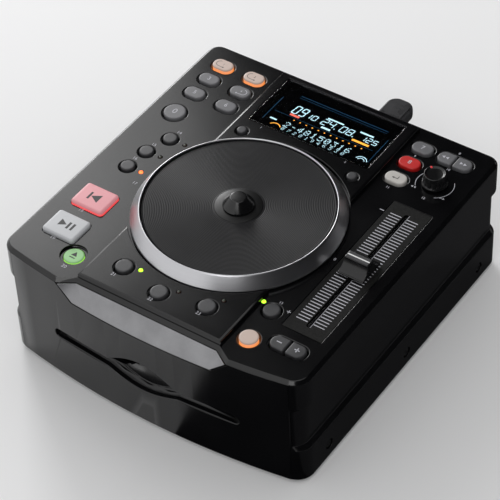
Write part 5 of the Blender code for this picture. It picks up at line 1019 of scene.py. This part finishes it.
GLOW_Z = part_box("display_module")[1].z + 0.06 * MM
LIT_T = 0.04 * MM
LEAN = math.tan(math.radians(9))
SEGMENTS = {"0": "abcdef", "1": "bc", "2": "abged", "3": "abgcd", "4": "fgbc", "5": "afgcd", "6": "afgedc",
            "7": "abc", "8": "abcdefg", "9": "abcdfg"}
DOT_ROWS = {"0": (14, 17, 19, 21, 25, 17, 14), "1": (4, 12, 4, 4, 4, 4, 14), "2": (14, 17, 1, 2, 4, 8, 31),
            "3": (31, 2, 4, 2, 1, 17, 14), "4": (2, 6, 10, 18, 31, 2, 2), "5": (31, 16, 30, 1, 1, 17, 14),
            "6": (6, 8, 16, 30, 17, 17, 14), "7": (31, 1, 2, 4, 8, 8, 8), "8": (14, 17, 17, 14, 17, 17, 14),
            "9": (14, 17, 17, 15, 1, 2, 12), "-": (0, 0, 0, 14, 0, 0, 0)}


def flat_bar(bm, centre, width, depth, thick=LIT_T, turn=0.0):
    """Thin bar lying flat, its middle at centre."""
    matrix = Matrix.Translation(centre) @ Matrix.Rotation(turn, 4, "Z") @ Matrix.Diagonal((width, depth, thick, 1))
    bmesh.ops.create_cube(bm, size=1, matrix=matrix)


def segment_digit(bm, figure, left, low, width, height, stroke):
    """One seven-segment figure, leaning right, with clipped segment ends."""
    half = height / 2
    spots = {"a": (width / 2, height, 0), "g": (width / 2, half, 0), "d": (width / 2, 0, 0),
             "f": (0, half * 1.5, 1), "b": (width, half * 1.5, 1), "e": (0, half * 0.5, 1),
             "c": (width, half * 0.5, 1)}
    for label in SEGMENTS[figure]:
        x, y, upright = spots[label]
        length = (half if upright else width) - stroke * 0.7
        before = set(bm.verts)
        flat_bar(bm, (0, 0, 0), length, stroke, turn=math.pi / 2 * upright)
        for vert in [vert for vert in bm.verts if vert not in before]:
            vert.co.x += (y + vert.co.y) * LEAN + x + left
            vert.co.y += y + low
            vert.co.z += GLOW_Z


def dot_figure(bm, figure, left, low, pitch, size):
    """One five by seven dot-matrix figure."""
    for row, bits in enumerate(DOT_ROWS[figure]):
        for column in range(5):
            if bits >> (4 - column) & 1:
                y = (6 - row) * pitch
                flat_bar(bm, (left + column * pitch + y * LEAN, low + y, GLOW_Z), size, size)


def arc_strip(bm, centre, radius, width, start, end, steps, thick=LIT_T):
    """Flat arc of a ring, from start to end in degrees."""
    first = math.radians(start)
    corners = [bm.verts.new((radius + side * width / 2, 0, level * thick / 2))
               for side, level in ((-1, -1), (1, -1), (1, 1), (-1, 1))]
    face = bm.faces.new(corners)
    bmesh.ops.rotate(bm, verts=corners, cent=(0, 0, 0), matrix=Matrix.Rotation(first, 3, "Z"))
    before = set(bm.verts) - set(corners)
    bmesh.ops.spin(bm, geom=[face] + list(face.edges) + corners, cent=(0, 0, 0), axis=(0, 0, 1),
                   angle=math.radians(end) - first, steps=steps)
    new = [vert for vert in bm.verts if vert not in before]
    bmesh.ops.translate(bm, verts=new, vec=centre)


white_glow = lit("digits_white", (0.62, 0.93, 1.0), 2.4, (0.2, 0.3, 0.33))
blue_glow = lit("lines_blue", (0.03, 0.16, 0.32), 0.7, (0.01, 0.05, 0.09))
orange_glow = lit("dots_orange", (1.0, 0.42, 0.05), 3.0, (0.3, 0.12, 0.02))
red_glow = lit("bars_red", (1.0, 0.16, 0.10), 2.6, (0.3, 0.05, 0.04))
bm = bmesh.new()
for figures, left, low, width, height, stroke in (
        ("09", -26.0, 66.6, 3.4, 7.6, 0.75), ("10", -16.0, 67.4, 3.0, 4.4, 0.55),
        ("24", -4.2, 67.3, 3.5, 5.6, 0.58),
        ("08", 9.6, 67.3, 3.5, 5.6, 0.58), ("125", 25.2, 67.6, 2.9, 4.2, 0.5)):
    for place, figure in enumerate(figures):
        segment_digit(bm, figure, (left + place * (width + 2.1 * stroke + 0.4)) * MM, low * MM, width * MM,
                      height * MM, stroke * MM)
for left, low, width, depth in ((6.0, 67.4, 0.8, 0.8), (-2.4, 74.2, 12.0, 1.1), (-1.6, 64.9, 6.6, 1.6),
                                (22.2, 74.0, 9.8, 1.3), (19.6, 67.4, 0.8, 0.8), (-34.6, 55.6, 5.0, 1.2)):
    flat_bar(bm, ((left + width / 2) * MM, low * MM, GLOW_Z), width * MM, depth * MM)
for place, figure in enumerate("2-48150316"):
    dot_figure(bm, figure, (-23.0 + place * 5.1) * MM, 52.9 * MM, 0.72 * MM, 0.56 * MM)
for place, figure in enumerate("07281946530"):
    dot_figure(bm, figure, (-22.6 + place * 4.5) * MM, 49.4 * MM, 0.4 * MM, 0.3 * MM)
arc_strip(bm, Vector((36.5 * MM, 50.6 * MM, GLOW_Z)), 4.2 * MM, 0.5 * MM, 20, 160, 16)
arc_strip(bm, Vector((36.5 * MM, 50.6 * MM, GLOW_Z)), 2.6 * MM, 0.4 * MM, 20, 160, 12)
digits = link_mesh("display_digits", bm, white_glow)
bm = bmesh.new()
for y in (83.3, 81.4):
    flat_bar(bm, (4.3 * MM, y * MM, GLOW_Z), 66 * MM, (0.35 if y > 82 else 0.2) * MM)
for x in (-38.4, 41.2):
    flat_bar(bm, (x * MM, 64.5 * MM, GLOW_Z), 0.3 * MM, 24 * MM)
flat_bar(bm, (1.0 * MM, 62.9 * MM, GLOW_Z), 74 * MM, 0.18 * MM)
lines = link_mesh("display_lines", bm, blue_glow)
bm = bmesh.new()
for step in range(12):
    flat_bar(bm, ((-19.8 + step * 4.63) * MM, 61.0 * MM, GLOW_Z), 0.85 * MM, 0.85 * MM)
flat_bar(bm, (27.6 * MM, 65.2 * MM, GLOW_Z), 12.4 * MM, 1.7 * MM)
arc_strip(bm, Vector((-27.4 * MM, 48.4 * MM, GLOW_Z)), 4.3 * MM, 0.6 * MM, 30, 150, 16)
dots = link_mesh("display_dots", bm, orange_glow)
bm = bmesh.new()
flat_bar(bm, (-21.9 * MM, 64.9 * MM, GLOW_Z), 6.9 * MM, 1.7 * MM)
red_bar = link_mesh("display_red_bar", bm, red_glow)
for part in (digits, lines, dots, red_bar):
    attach(part, "case")

module_glass = grained("display_glass", (0.0025, 0.003, 0.0035), (0.004, 0.0045, 0.005), (0.10, 0.14), size=900.0,
                       drift=20.0, relief=0)
dress("display_module", module_glass)
pane_smoke = grained("pane_smoke", (0.50, 0.51, 0.54), (0.52, 0.53, 0.56), (0.01, 0.02), size=90.0, drift=12.0,
                     relief=0)
pane_smoke.node_tree.nodes["Principled BSDF"].inputs["Transmission Weight"].default_value = 1.0
pane_smoke.node_tree.nodes["Principled BSDF"].inputs["IOR"].default_value = 1.49
pane_low, pane_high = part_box("display_window")
bm = bmesh.new()
moulded_round(bm, {"centre": (pane_low + pane_high) / 2, "width": pane_high.x - pane_low.x,
                   "depth": pane_high.y - pane_low.y, "left": 1.2 * MM, "right": 1.2 * MM},
              [(-3 * MM, pane_low.z)] + [tuple(point) for point in eased(
                  [(-0.4 * MM, pane_low.z), (0, pane_low.z), (0, pane_high.z), (-0.4 * MM, pane_high.z)], 0.18 * MM)] +
              [(-3 * MM, pane_high.z)])
pane = link_mesh("display_pane", bm, pane_smoke)
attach(pane, "case")
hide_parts("display_window")

# Pitch fader: a grained plate with a printed scale either side of its slot, and a black cap with
# drawn-in sides, hollow slopes and a pale line on its ridge.

TICKS = 42
TICK_FROM, TICK_TO = -81.4 * MM, 22.4 * MM
TICK_SPANS = ((76.4 * MM, 84.3 * MM), (88.5 * MM, 96.0 * MM))
TICK_D = 0.62 * MM

speckle, entry, result = effect_group("plate_speckle", ("Grain",), ("Height", "Fleck"))
cells = speckle.nodes.new("ShaderNodeTexVoronoi")
speckle.links.new(entry.outputs["Place"], cells.inputs["Vector"])
speckle.links.new(entry.outputs["Grain"], cells.inputs["Scale"])
shade_of = speckle.nodes.new("ShaderNodeSeparateColor")
speckle.links.new(cells.outputs["Color"], shade_of.inputs["Color"])
speckle.links.new(cells.outputs["Distance"], result.inputs["Height"])
speckle.links.new(shade_of.outputs["Red"], result.inputs["Fleck"])

fader_grain = plain_material("fader_plate_grain", (0.02, 0.02, 0.02), 0.5, specular=0.12)
tree = fader_grain.node_tree
shader = tree.nodes["Principled BSDF"]
effect = use_group(tree, speckle, tree.nodes.new("ShaderNodeTexCoord").outputs["Object"], Grain=1700.0)
node_colour(tree, effect.outputs["Fleck"], (0.0015, 0.0015, 0.0015), (0.014, 0.014, 0.0135),
            shader.inputs["Base Color"])
node_range(tree, effect.outputs["Fleck"], 0.5, 0.7, shader.inputs["Roughness"])
node_relief(tree, effect.outputs["Height"], 0.05 * MM, shader)
plate_sheet = link_mesh("fader_sheet", merged_copy("fader_plate"), fader_grain)
break_edges(plate_sheet, 0.15 * MM)
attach(plate_sheet, "case")
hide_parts("fader_plate")

ink_pale = grained("ink_pale", (0.42, 0.42, 0.46), (0.55, 0.55, 0.60), (0.5, 0.6), size=3000.0, drift=90.0,
                   relief=0.003 * MM)
bm = bmesh.new()
for step in range(TICKS):
    y = TICK_FROM + (TICK_TO - TICK_FROM) * step / (TICKS - 1)
    for left, right in TICK_SPANS:
        flat_bar(bm, ((left + right) / 2, y, z_deck), right - left, TICK_D, INK_T)
flat_bar(bm, (FADER_X + 1.62 * MM, well_centre.y, z_deck), 0.22 * MM, 2 * 55.4 * MM, INK_T)
scale = link_mesh("fader_scale", bm, ink_pale)
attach(scale, "case")

cap_low, cap_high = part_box("fader_cap")
cap_mid = (cap_low + cap_high) / 2
cap_half = (cap_high.y - cap_low.y) / 2
RIDGE_HALF = 3.2 * MM
CAP_FOOT = 1.4 * MM
CAP_DRAFT = 0.9 * MM
SLOPE_STEPS = 14
fader_black = grained("fader_cap_black", (0.004, 0.004, 0.0045), (0.007, 0.007, 0.0076), (0.22, 0.30), size=2600.0,
                      drift=120.0, relief=0.008 * MM)
ridge_grey = grained("ridge_grey", (0.045, 0.045, 0.048), (0.06, 0.06, 0.063), (0.3, 0.4), size=2600.0, drift=120.0,
                     relief=0.006 * MM)
ink_white = grained("ink_white", (0.72, 0.72, 0.72), (0.84, 0.84, 0.84), (0.45, 0.55), size=3000.0, drift=90.0,
                    relief=0.003 * MM)
side = []
for step in range(SLOPE_STEPS + 1):
    angle = math.pi / 2 * step / SLOPE_STEPS
    side.append((cap_half - (cap_half - RIDGE_HALF) * math.sin(angle),
                 cap_high.z - (cap_high.z - cap_low.z - CAP_FOOT) * math.cos(angle)))
bm = bmesh.new()
cap_profile = [(-cap_half, cap_low.z), (cap_half, cap_low.z)] + side + [(-y, z) for y, z in reversed(side)]
cap_end = bm.faces.new([bm.verts.new((cap_low.x, cap_mid.y + y, z)) for y, z in cap_profile])
grown = bmesh.ops.extrude_face_region(bm, geom=[cap_end])
bmesh.ops.translate(bm, verts=[part for part in grown["geom"] if isinstance(part, bmesh.types.BMVert)],
                    vec=(cap_high.x - cap_low.x, 0, 0))
for vert in bm.verts:
    share = (vert.co.z - cap_low.z - CAP_FOOT) / (cap_high.z - cap_low.z - CAP_FOOT)
    vert.co.x -= math.copysign(CAP_DRAFT * max(share, 0), vert.co.x - cap_mid.x)
fader_cap = link_mesh("slider_cap", bm, fader_black)
break_edges(fader_cap, 0.5 * MM, 3)
half_ridge = (cap_high.x - cap_low.x) / 2 - CAP_DRAFT - 0.55 * MM
bm = bmesh.new()
flat_bar(bm, (cap_mid.x, cap_mid.y, cap_high.z - 0.02 * MM), 2 * half_ridge, 2 * RIDGE_HALF - 1.1 * MM, INK_T)
flat_bar(bm, (cap_mid.x, cap_mid.y, cap_high.z), 2 * half_ridge, 0.9 * MM, INK_T)
bm.faces.ensure_lookup_table()
for face in bm.faces[-6:]:
    face.material_index = 1
for vert in bm.verts:
    vert.co.z = min(vert.co.z, cap_high.z + 0.03 * MM)
ridge = link_mesh("slider_ridge", bm, ridge_grey, ink_white)
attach(ridge, "fader")
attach(fader_cap, "fader")
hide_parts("fader_cap")

# Parameter knob: black moulding with drawn-in flutes, a dished top and a red pointer dot.

KNOB_R = (knob_high.x - knob_low.x) / 2
KNOB_TOP_R = 7.2 * MM
FLUTES = 14
FLUTE_D = 0.55 * MM
knob_black = grained("knob_black", (0.003, 0.003, 0.0034), (0.005, 0.005, 0.0055), (0.18, 0.26), size=2400.0,
                     drift=160.0, relief=0.008 * MM)
dot_red = grained("dot_red", (0.75, 0.03, 0.04), (0.85, 0.05, 0.06), (0.3, 0.4), size=2000.0, drift=300.0)
bm = bmesh.new()
lathed(bm, [(3.3 * MM, knob_low.z + 5 * MM)] + eased(
    [(3.3 * MM, knob_low.z), (KNOB_R, knob_low.z), (KNOB_R, knob_low.z + 1.0 * MM),
     (KNOB_R - 0.5 * MM, knob_low.z + 1.5 * MM), (KNOB_R - 0.8 * MM, knob_high.z - 2.4 * MM),
     (KNOB_TOP_R, knob_high.z - 1.0 * MM), (KNOB_TOP_R - 0.3 * MM, knob_high.z),
     (KNOB_TOP_R - 1.0 * MM, knob_high.z), (KNOB_TOP_R - 2.0 * MM, knob_high.z - 0.7 * MM),
     (MM, knob_high.z - 0.95 * MM)],
    0.4 * MM) + [(0, knob_high.z - 0.95 * MM)], Vector((0, 0, 0)), 168)
for vert in bm.verts:
    share = min(max((vert.co.z - knob_low.z - 1.5 * MM) / (0.8 * MM), 0), 1)
    share *= min(max((knob_high.z - 0.35 * MM - vert.co.z) / (0.7 * MM), 0), 1)
    reach = math.hypot(vert.co.x, vert.co.y)
    if share > 0 and reach > KNOB_TOP_R - MM:
        wave = max(math.cos(FLUTES * math.atan2(vert.co.y, vert.co.x)), 0) ** 0.7
        shrink = 1 - FLUTE_D * share * wave / reach
        vert.co.x *= shrink
        vert.co.y *= shrink
bmesh.ops.translate(bm, verts=bm.verts, vec=knob_centre)
shell_faces = len(bm.faces)
angle = math.radians(143.5)
dot_place = knob_centre + Vector((math.cos(angle) * 6.2 * MM, math.sin(angle) * 6.2 * MM, knob_high.z))
before = set(bm.faces)
lathed(bm, [(0, 0.16 * MM), (0.5 * MM, 0.13 * MM), (0.85 * MM, 0), (0.85 * MM, -0.5 * MM), (0, -0.5 * MM)],
       dot_place - Vector((0, 0, 0.12 * MM)), 20)
paint_new(bm, before, 1)
knob = link_mesh("fluted_knob", bm, knob_black, dot_red)
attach(knob, "knob")
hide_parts("parameter_knob")

# Button caps: moulded in grey, with a small radius round a barely crowned top. Each cap carries
# its printed mark and rides on its own body. The lit ones are translucent and glow from below.


def ink_text(bm, text, size, centre, index=1):
    """Print plain figures, laid flat with their middle at centre."""
    curve = bpy.data.curves.new("ink", "FONT")
    curve.body = text
    curve.size = size
    curve.align_x = "CENTER"
    curve.align_y = "CENTER"
    curve.extrude = INK_T / 2
    curve.resolution_u = 3
    item = bpy.data.objects.new("ink", curve)
    scene.collection.objects.link(item)
    graph = bpy.context.evaluated_depsgraph_get()
    mesh = bpy.data.meshes.new_from_object(item.evaluated_get(graph))
    mesh.transform(Matrix.Translation(centre))
    before = set(bm.faces)
    bm.from_mesh(mesh)
    paint_new(bm, before, index)
    bpy.data.objects.remove(item)
    bpy.data.curves.remove(curve)
    bpy.data.meshes.remove(mesh)


def ink_arrow(bm, centre, size, heading, index=1):
    """Small solid triangle pointing along a heading in degrees."""
    before = set(bm.faces)
    turn = Matrix.Rotation(math.radians(heading - 90), 4, "Z")
    bmesh.ops.create_cone(bm, cap_ends=True, segments=3, radius1=size, radius2=size, depth=INK_T,
                          matrix=Matrix.Translation(centre) @ turn)
    paint_new(bm, before, index)


def ink_bar(bm, centre, width, depth, index=1):
    """Small printed bar."""
    before = set(bm.faces)
    flat_bar(bm, centre, width, depth, INK_T)
    paint_new(bm, before, index)


def ink_arc(bm, centre, radius, width, start, end, index=1):
    """Printed arc."""
    before = set(bm.faces)
    arc_strip(bm, centre, radius, width, start, end, 14, INK_T)
    paint_new(bm, before, index)


glow, entry, result = effect_group("glow_from_below", ("Low", "High"), ("Share",))
height_of = glow.nodes.new("ShaderNodeSeparateXYZ")
glow.links.new(entry.outputs["Place"], height_of.inputs["Vector"])
rise = glow.nodes.new("ShaderNodeMapRange")
rise.interpolation_type = "SMOOTHSTEP"
glow.links.new(height_of.outputs["Z"], rise.inputs["Value"])
glow.links.new(entry.outputs["Low"], rise.inputs["From Min"])
glow.links.new(entry.outputs["High"], rise.inputs["From Max"])
glow.links.new(rise.outputs["Result"], result.inputs["Share"])


def lit_cap(name, colour, low_glow, top_glow, low, high, roughness=0.32):
    """Translucent cap: its glow runs from one colour at the deck to another at its top."""
    material = grained(name, colour, tuple(c * 0.96 for c in colour), (roughness, roughness + 0.06), size=2200.0,
                       drift=80.0, relief=0.004 * MM)
    tree = material.node_tree
    shader = tree.nodes["Principled BSDF"]
    effect = use_group(tree, glow, tree.nodes.new("ShaderNodeTexCoord").outputs["Object"], Low=low, High=high)
    node_colour(tree, effect.outputs["Share"], low_glow, top_glow, shader.inputs["Emission Color"])
    shader.inputs["Emission Strength"].default_value = 1.0
    return material


CAP_FACTS = {
    "grey": grained("grey_cap", (0.115, 0.115, 0.123), (0.140, 0.140, 0.148), (0.36, 0.44), size=2200.0, drift=150.0,
                    relief=0.008 * MM),
    "dark": grained("dark_cap", (0.030, 0.030, 0.033), (0.042, 0.042, 0.045), (0.36, 0.44), size=2200.0, drift=150.0,
                    relief=0.008 * MM),
    "red": grained("red_cap", (0.50, 0.012, 0.012), (0.58, 0.018, 0.016), (0.3, 0.38), size=2200.0, drift=150.0,
                   relief=0.008 * MM),
    "white": grained("white_cap", (0.48, 0.46, 0.43), (0.54, 0.52, 0.49), (0.34, 0.42), size=2200.0, drift=150.0,
                     relief=0.008 * MM),
    # The pale cap has a faint grey glow that grows from nothing at the deck to its top: painted light that lightens the
    # top of the cap.
    "pale": lit_cap("pale_cap", (0.50, 0.51, 0.53), (0.0, 0.0, 0.0), (0.02, 0.02, 0.02), z_deck,
                    caps["play"]["top"]),
    "pink": lit_cap("pink_cap", (0.48, 0.24, 0.26), (0.85, 0.03, 0.03), (0.26, 0.08, 0.09), z_deck + 0.2 * MM,
                    z_deck + 1.6 * MM),
    "amber": lit_cap("amber_cap", (0.44, 0.38, 0.35), (0.90, 0.24, 0.03), (0.13, 0.075, 0.05), z_deck + 0.2 * MM,
                     z_deck + 1.3 * MM),
    "green": lit_cap("green_cap", (0.22, 0.40, 0.20), (0.34, 0.85, 0.04), (0.07, 0.16, 0.05), z_deck - 1.9 * MM,
                     z_deck - 1.1 * MM),
}
ink_dark = grained("ink_dark", (0.012, 0.012, 0.013), (0.02, 0.02, 0.021), (0.45, 0.55), size=3000.0, drift=90.0,
                   relief=0.003 * MM)
CAP_COLOURS = {"play": "pale", "cue": "pink", "eject": "green", "jog_mode": "amber", "hot_start_one": "amber",
               "hot_start_two": "amber", "source": "red", "back": "white", "brake": "dark", "dump": "dark",
               "reverse": "dark"}
DIM_CAPS = ("echo", "flanger", "filter", "time", "sync", "key", "bend_minus", "bend_plus")
FIGURES = {"flip": "3", "next_track": "5", "exit": "6", "tap": "0", "memo": "7", "source": "8"}


def cap_mark(bm, name, centre):
    """Printed mark of a cap: a plain figure, or the common sign of its function."""
    if name in FIGURES:
        ink_text(bm, FIGURES[name], (6.4 if name == "tap" else 4.6) * MM, centre)
    if name in ("search_forward", "search_back"):
        heading = 0 if name == "search_forward" else 180
        for shift in (-1.5, 1.1):
            ink_arrow(bm, centre + Vector((shift * MM, 0, 0)), 1.35 * MM, heading)
    if name in ("bend_minus", "bend_plus"):
        ink_bar(bm, centre, 3.4 * MM, 0.7 * MM)
        if name == "bend_plus":
            ink_bar(bm, centre, 0.7 * MM, 3.4 * MM)
    if name in ("hot_start_one", "hot_start_two", "loop"):
        flip = -1 if name == "loop" else 1
        ink_arc(bm, centre + Vector((-2.2 * flip * MM, 0, 0)), 2.5 * MM, 0.35 * MM, 90 if flip > 0 else -90,
                270 if flip > 0 else 90)
        ink_bar(bm, centre + Vector((-0.6 * flip * MM, -2.5 * MM, 0)), 3.2 * MM, 0.35 * MM)
        ink_arrow(bm, centre + Vector((1.6 * flip * MM, -2.5 * MM, 0)), 0.85 * MM, 0 if flip > 0 else 180)
        ink_text(bm, {"hot_start_one": "1", "hot_start_two": "2", "loop": "4"}[name], 2.4 * MM,
                 centre + Vector((0.6 * MM, 0.3 * MM, 0)))
    if name == "play":
        ink_arrow(bm, centre + Vector((-3.2 * MM, 0, 0)), 3.4 * MM, 0)
        for shift in (1.8, 4.9):
            ink_bar(bm, centre + Vector((shift * MM, 0, 0)), 1.6 * MM, 5.8 * MM)
    if name == "cue":
        ink_bar(bm, centre + Vector((-3.6 * MM, 0, 0)), 1.5 * MM, 6.4 * MM)
        ink_arrow(bm, centre + Vector((1.6 * MM, 0, 0)), 4.2 * MM, 180)
    if name == "eject":
        ink_arrow(bm, centre + Vector((0, 0.9 * MM, 0)), 2.4 * MM, 90)
        ink_bar(bm, centre + Vector((0, -1.9 * MM, 0)), 4.0 * MM, 0.8 * MM)
    if name == "back":
        ink_bar(bm, centre + Vector((0.5 * MM, -0.9 * MM, 0)), 3.0 * MM, 0.45 * MM)
        ink_bar(bm, centre + Vector((1.8 * MM, 0.2 * MM, 0)), 0.45 * MM, 2.4 * MM)
        ink_arrow(bm, centre + Vector((-1.3 * MM, -0.9 * MM, 0)), 1.0 * MM, 180)


for name, facts in caps.items():
    radius = (1.15 if name in PADS else 0.6) * MM
    low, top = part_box(name + "_button")[0].z, facts["top"]
    inner = -facts["left"] - END_R
    outline = eased([(0, low), (0, top - radius), (-radius * 0.8, top - 0.05 * MM), (-radius * 2, top),
                     (inner, top)], radius * 0.6, 5)
    bm = bmesh.new()
    moulded_round(bm, facts, [(inner, low)] + [tuple(point) for point in outline])
    cap_mark(bm, name, Vector((facts["centre"].x, facts["centre"].y, top)))
    kind = CAP_COLOURS.get(name, "grey")
    ink = ink_dark if kind in ("pale", "pink", "amber", "green", "white") else ink_pale
    cap = link_mesh(name + "_cap", bm, CAP_FACTS["dark" if name in DIM_CAPS else kind], ink)
    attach(cap, name)
    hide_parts(name + "_button")

# Printed figures on the deck: small plain numbers and signs in pale ink where such a player is
# marked, a fine arc round the knob, and thin lines by the fader. Places of names stay bare.

bm = bmesh.new()
deck_ink = z_deck + INK_T * 0.3
island_ink = z_island + INK_T * 0.3
for text, size, x, y in (("14", 3.4, -76.4, 13.9), ("15", 3.4, -83.4, -4.0), ("16", 3.4, -86.0, -20.7),
                         ("17", 3.2, -72.4, -39.4), ("18", 3.6, -85.8, -76.8), ("19", 3.6, -85.7, -105.4),
                         ("20", 3.6, -64.6, -121.2), ("8", 2.6, 84.8, 91.3), ("9", 2.6, 62.2, 74.5),
                         ("10", 2.6, 86.2, 74.7), ("11", 2.6, 62.8, 41.1), ("12", 2.6, 86.4, 44.3),
                         ("0", 3.0, 69.6, -29.6), ("13", 2.6, 62.7, -77.0)):
    ink_text(bm, text, size * MM, Vector((x * MM, y * MM, deck_ink)), 0)
for text, size, x, y in (("21", 3.4, -33.2, -113.0), ("22", 3.4, -2.5, -118.0), ("23", 3.4, 28.2, -112.2),
                         ("1", 2.2, -33.0, 43.0), ("2", 2.2, 30.0, 43.8)):
    ink_text(bm, text, size * MM, Vector((x * MM, y * MM, island_ink)), 0)
knob_mark = Vector((knob_centre.x, knob_centre.y, deck_ink))
ink_arc(bm, knob_mark, 12.2 * MM, 0.35 * MM, -62, 36, 0)
ink_arc(bm, knob_mark, 12.2 * MM, 0.35 * MM, 150, 216, 0)
for shift, heading in ((-1, 180), (1, 0)):
    for step in (0, 1.9):
        ink_arrow(bm, knob_mark + Vector(((shift * 9.2 + shift * step) * MM, -8.6 * MM, 0)), 0.95 * MM, heading, 0)
ink_bar(bm, Vector((70.6 * MM, 22.0 * MM, deck_ink)), 3.0 * MM, 0.5 * MM, 0)
ink_bar(bm, Vector((70.6 * MM, -80.6 * MM, deck_ink)), 2.6 * MM, 0.5 * MM, 0)
ink_bar(bm, Vector((70.6 * MM, -80.6 * MM, deck_ink)), 0.5 * MM, 2.6 * MM, 0)
marks = link_mesh("printed_figures", bm, ink_pale)
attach(marks, "case")
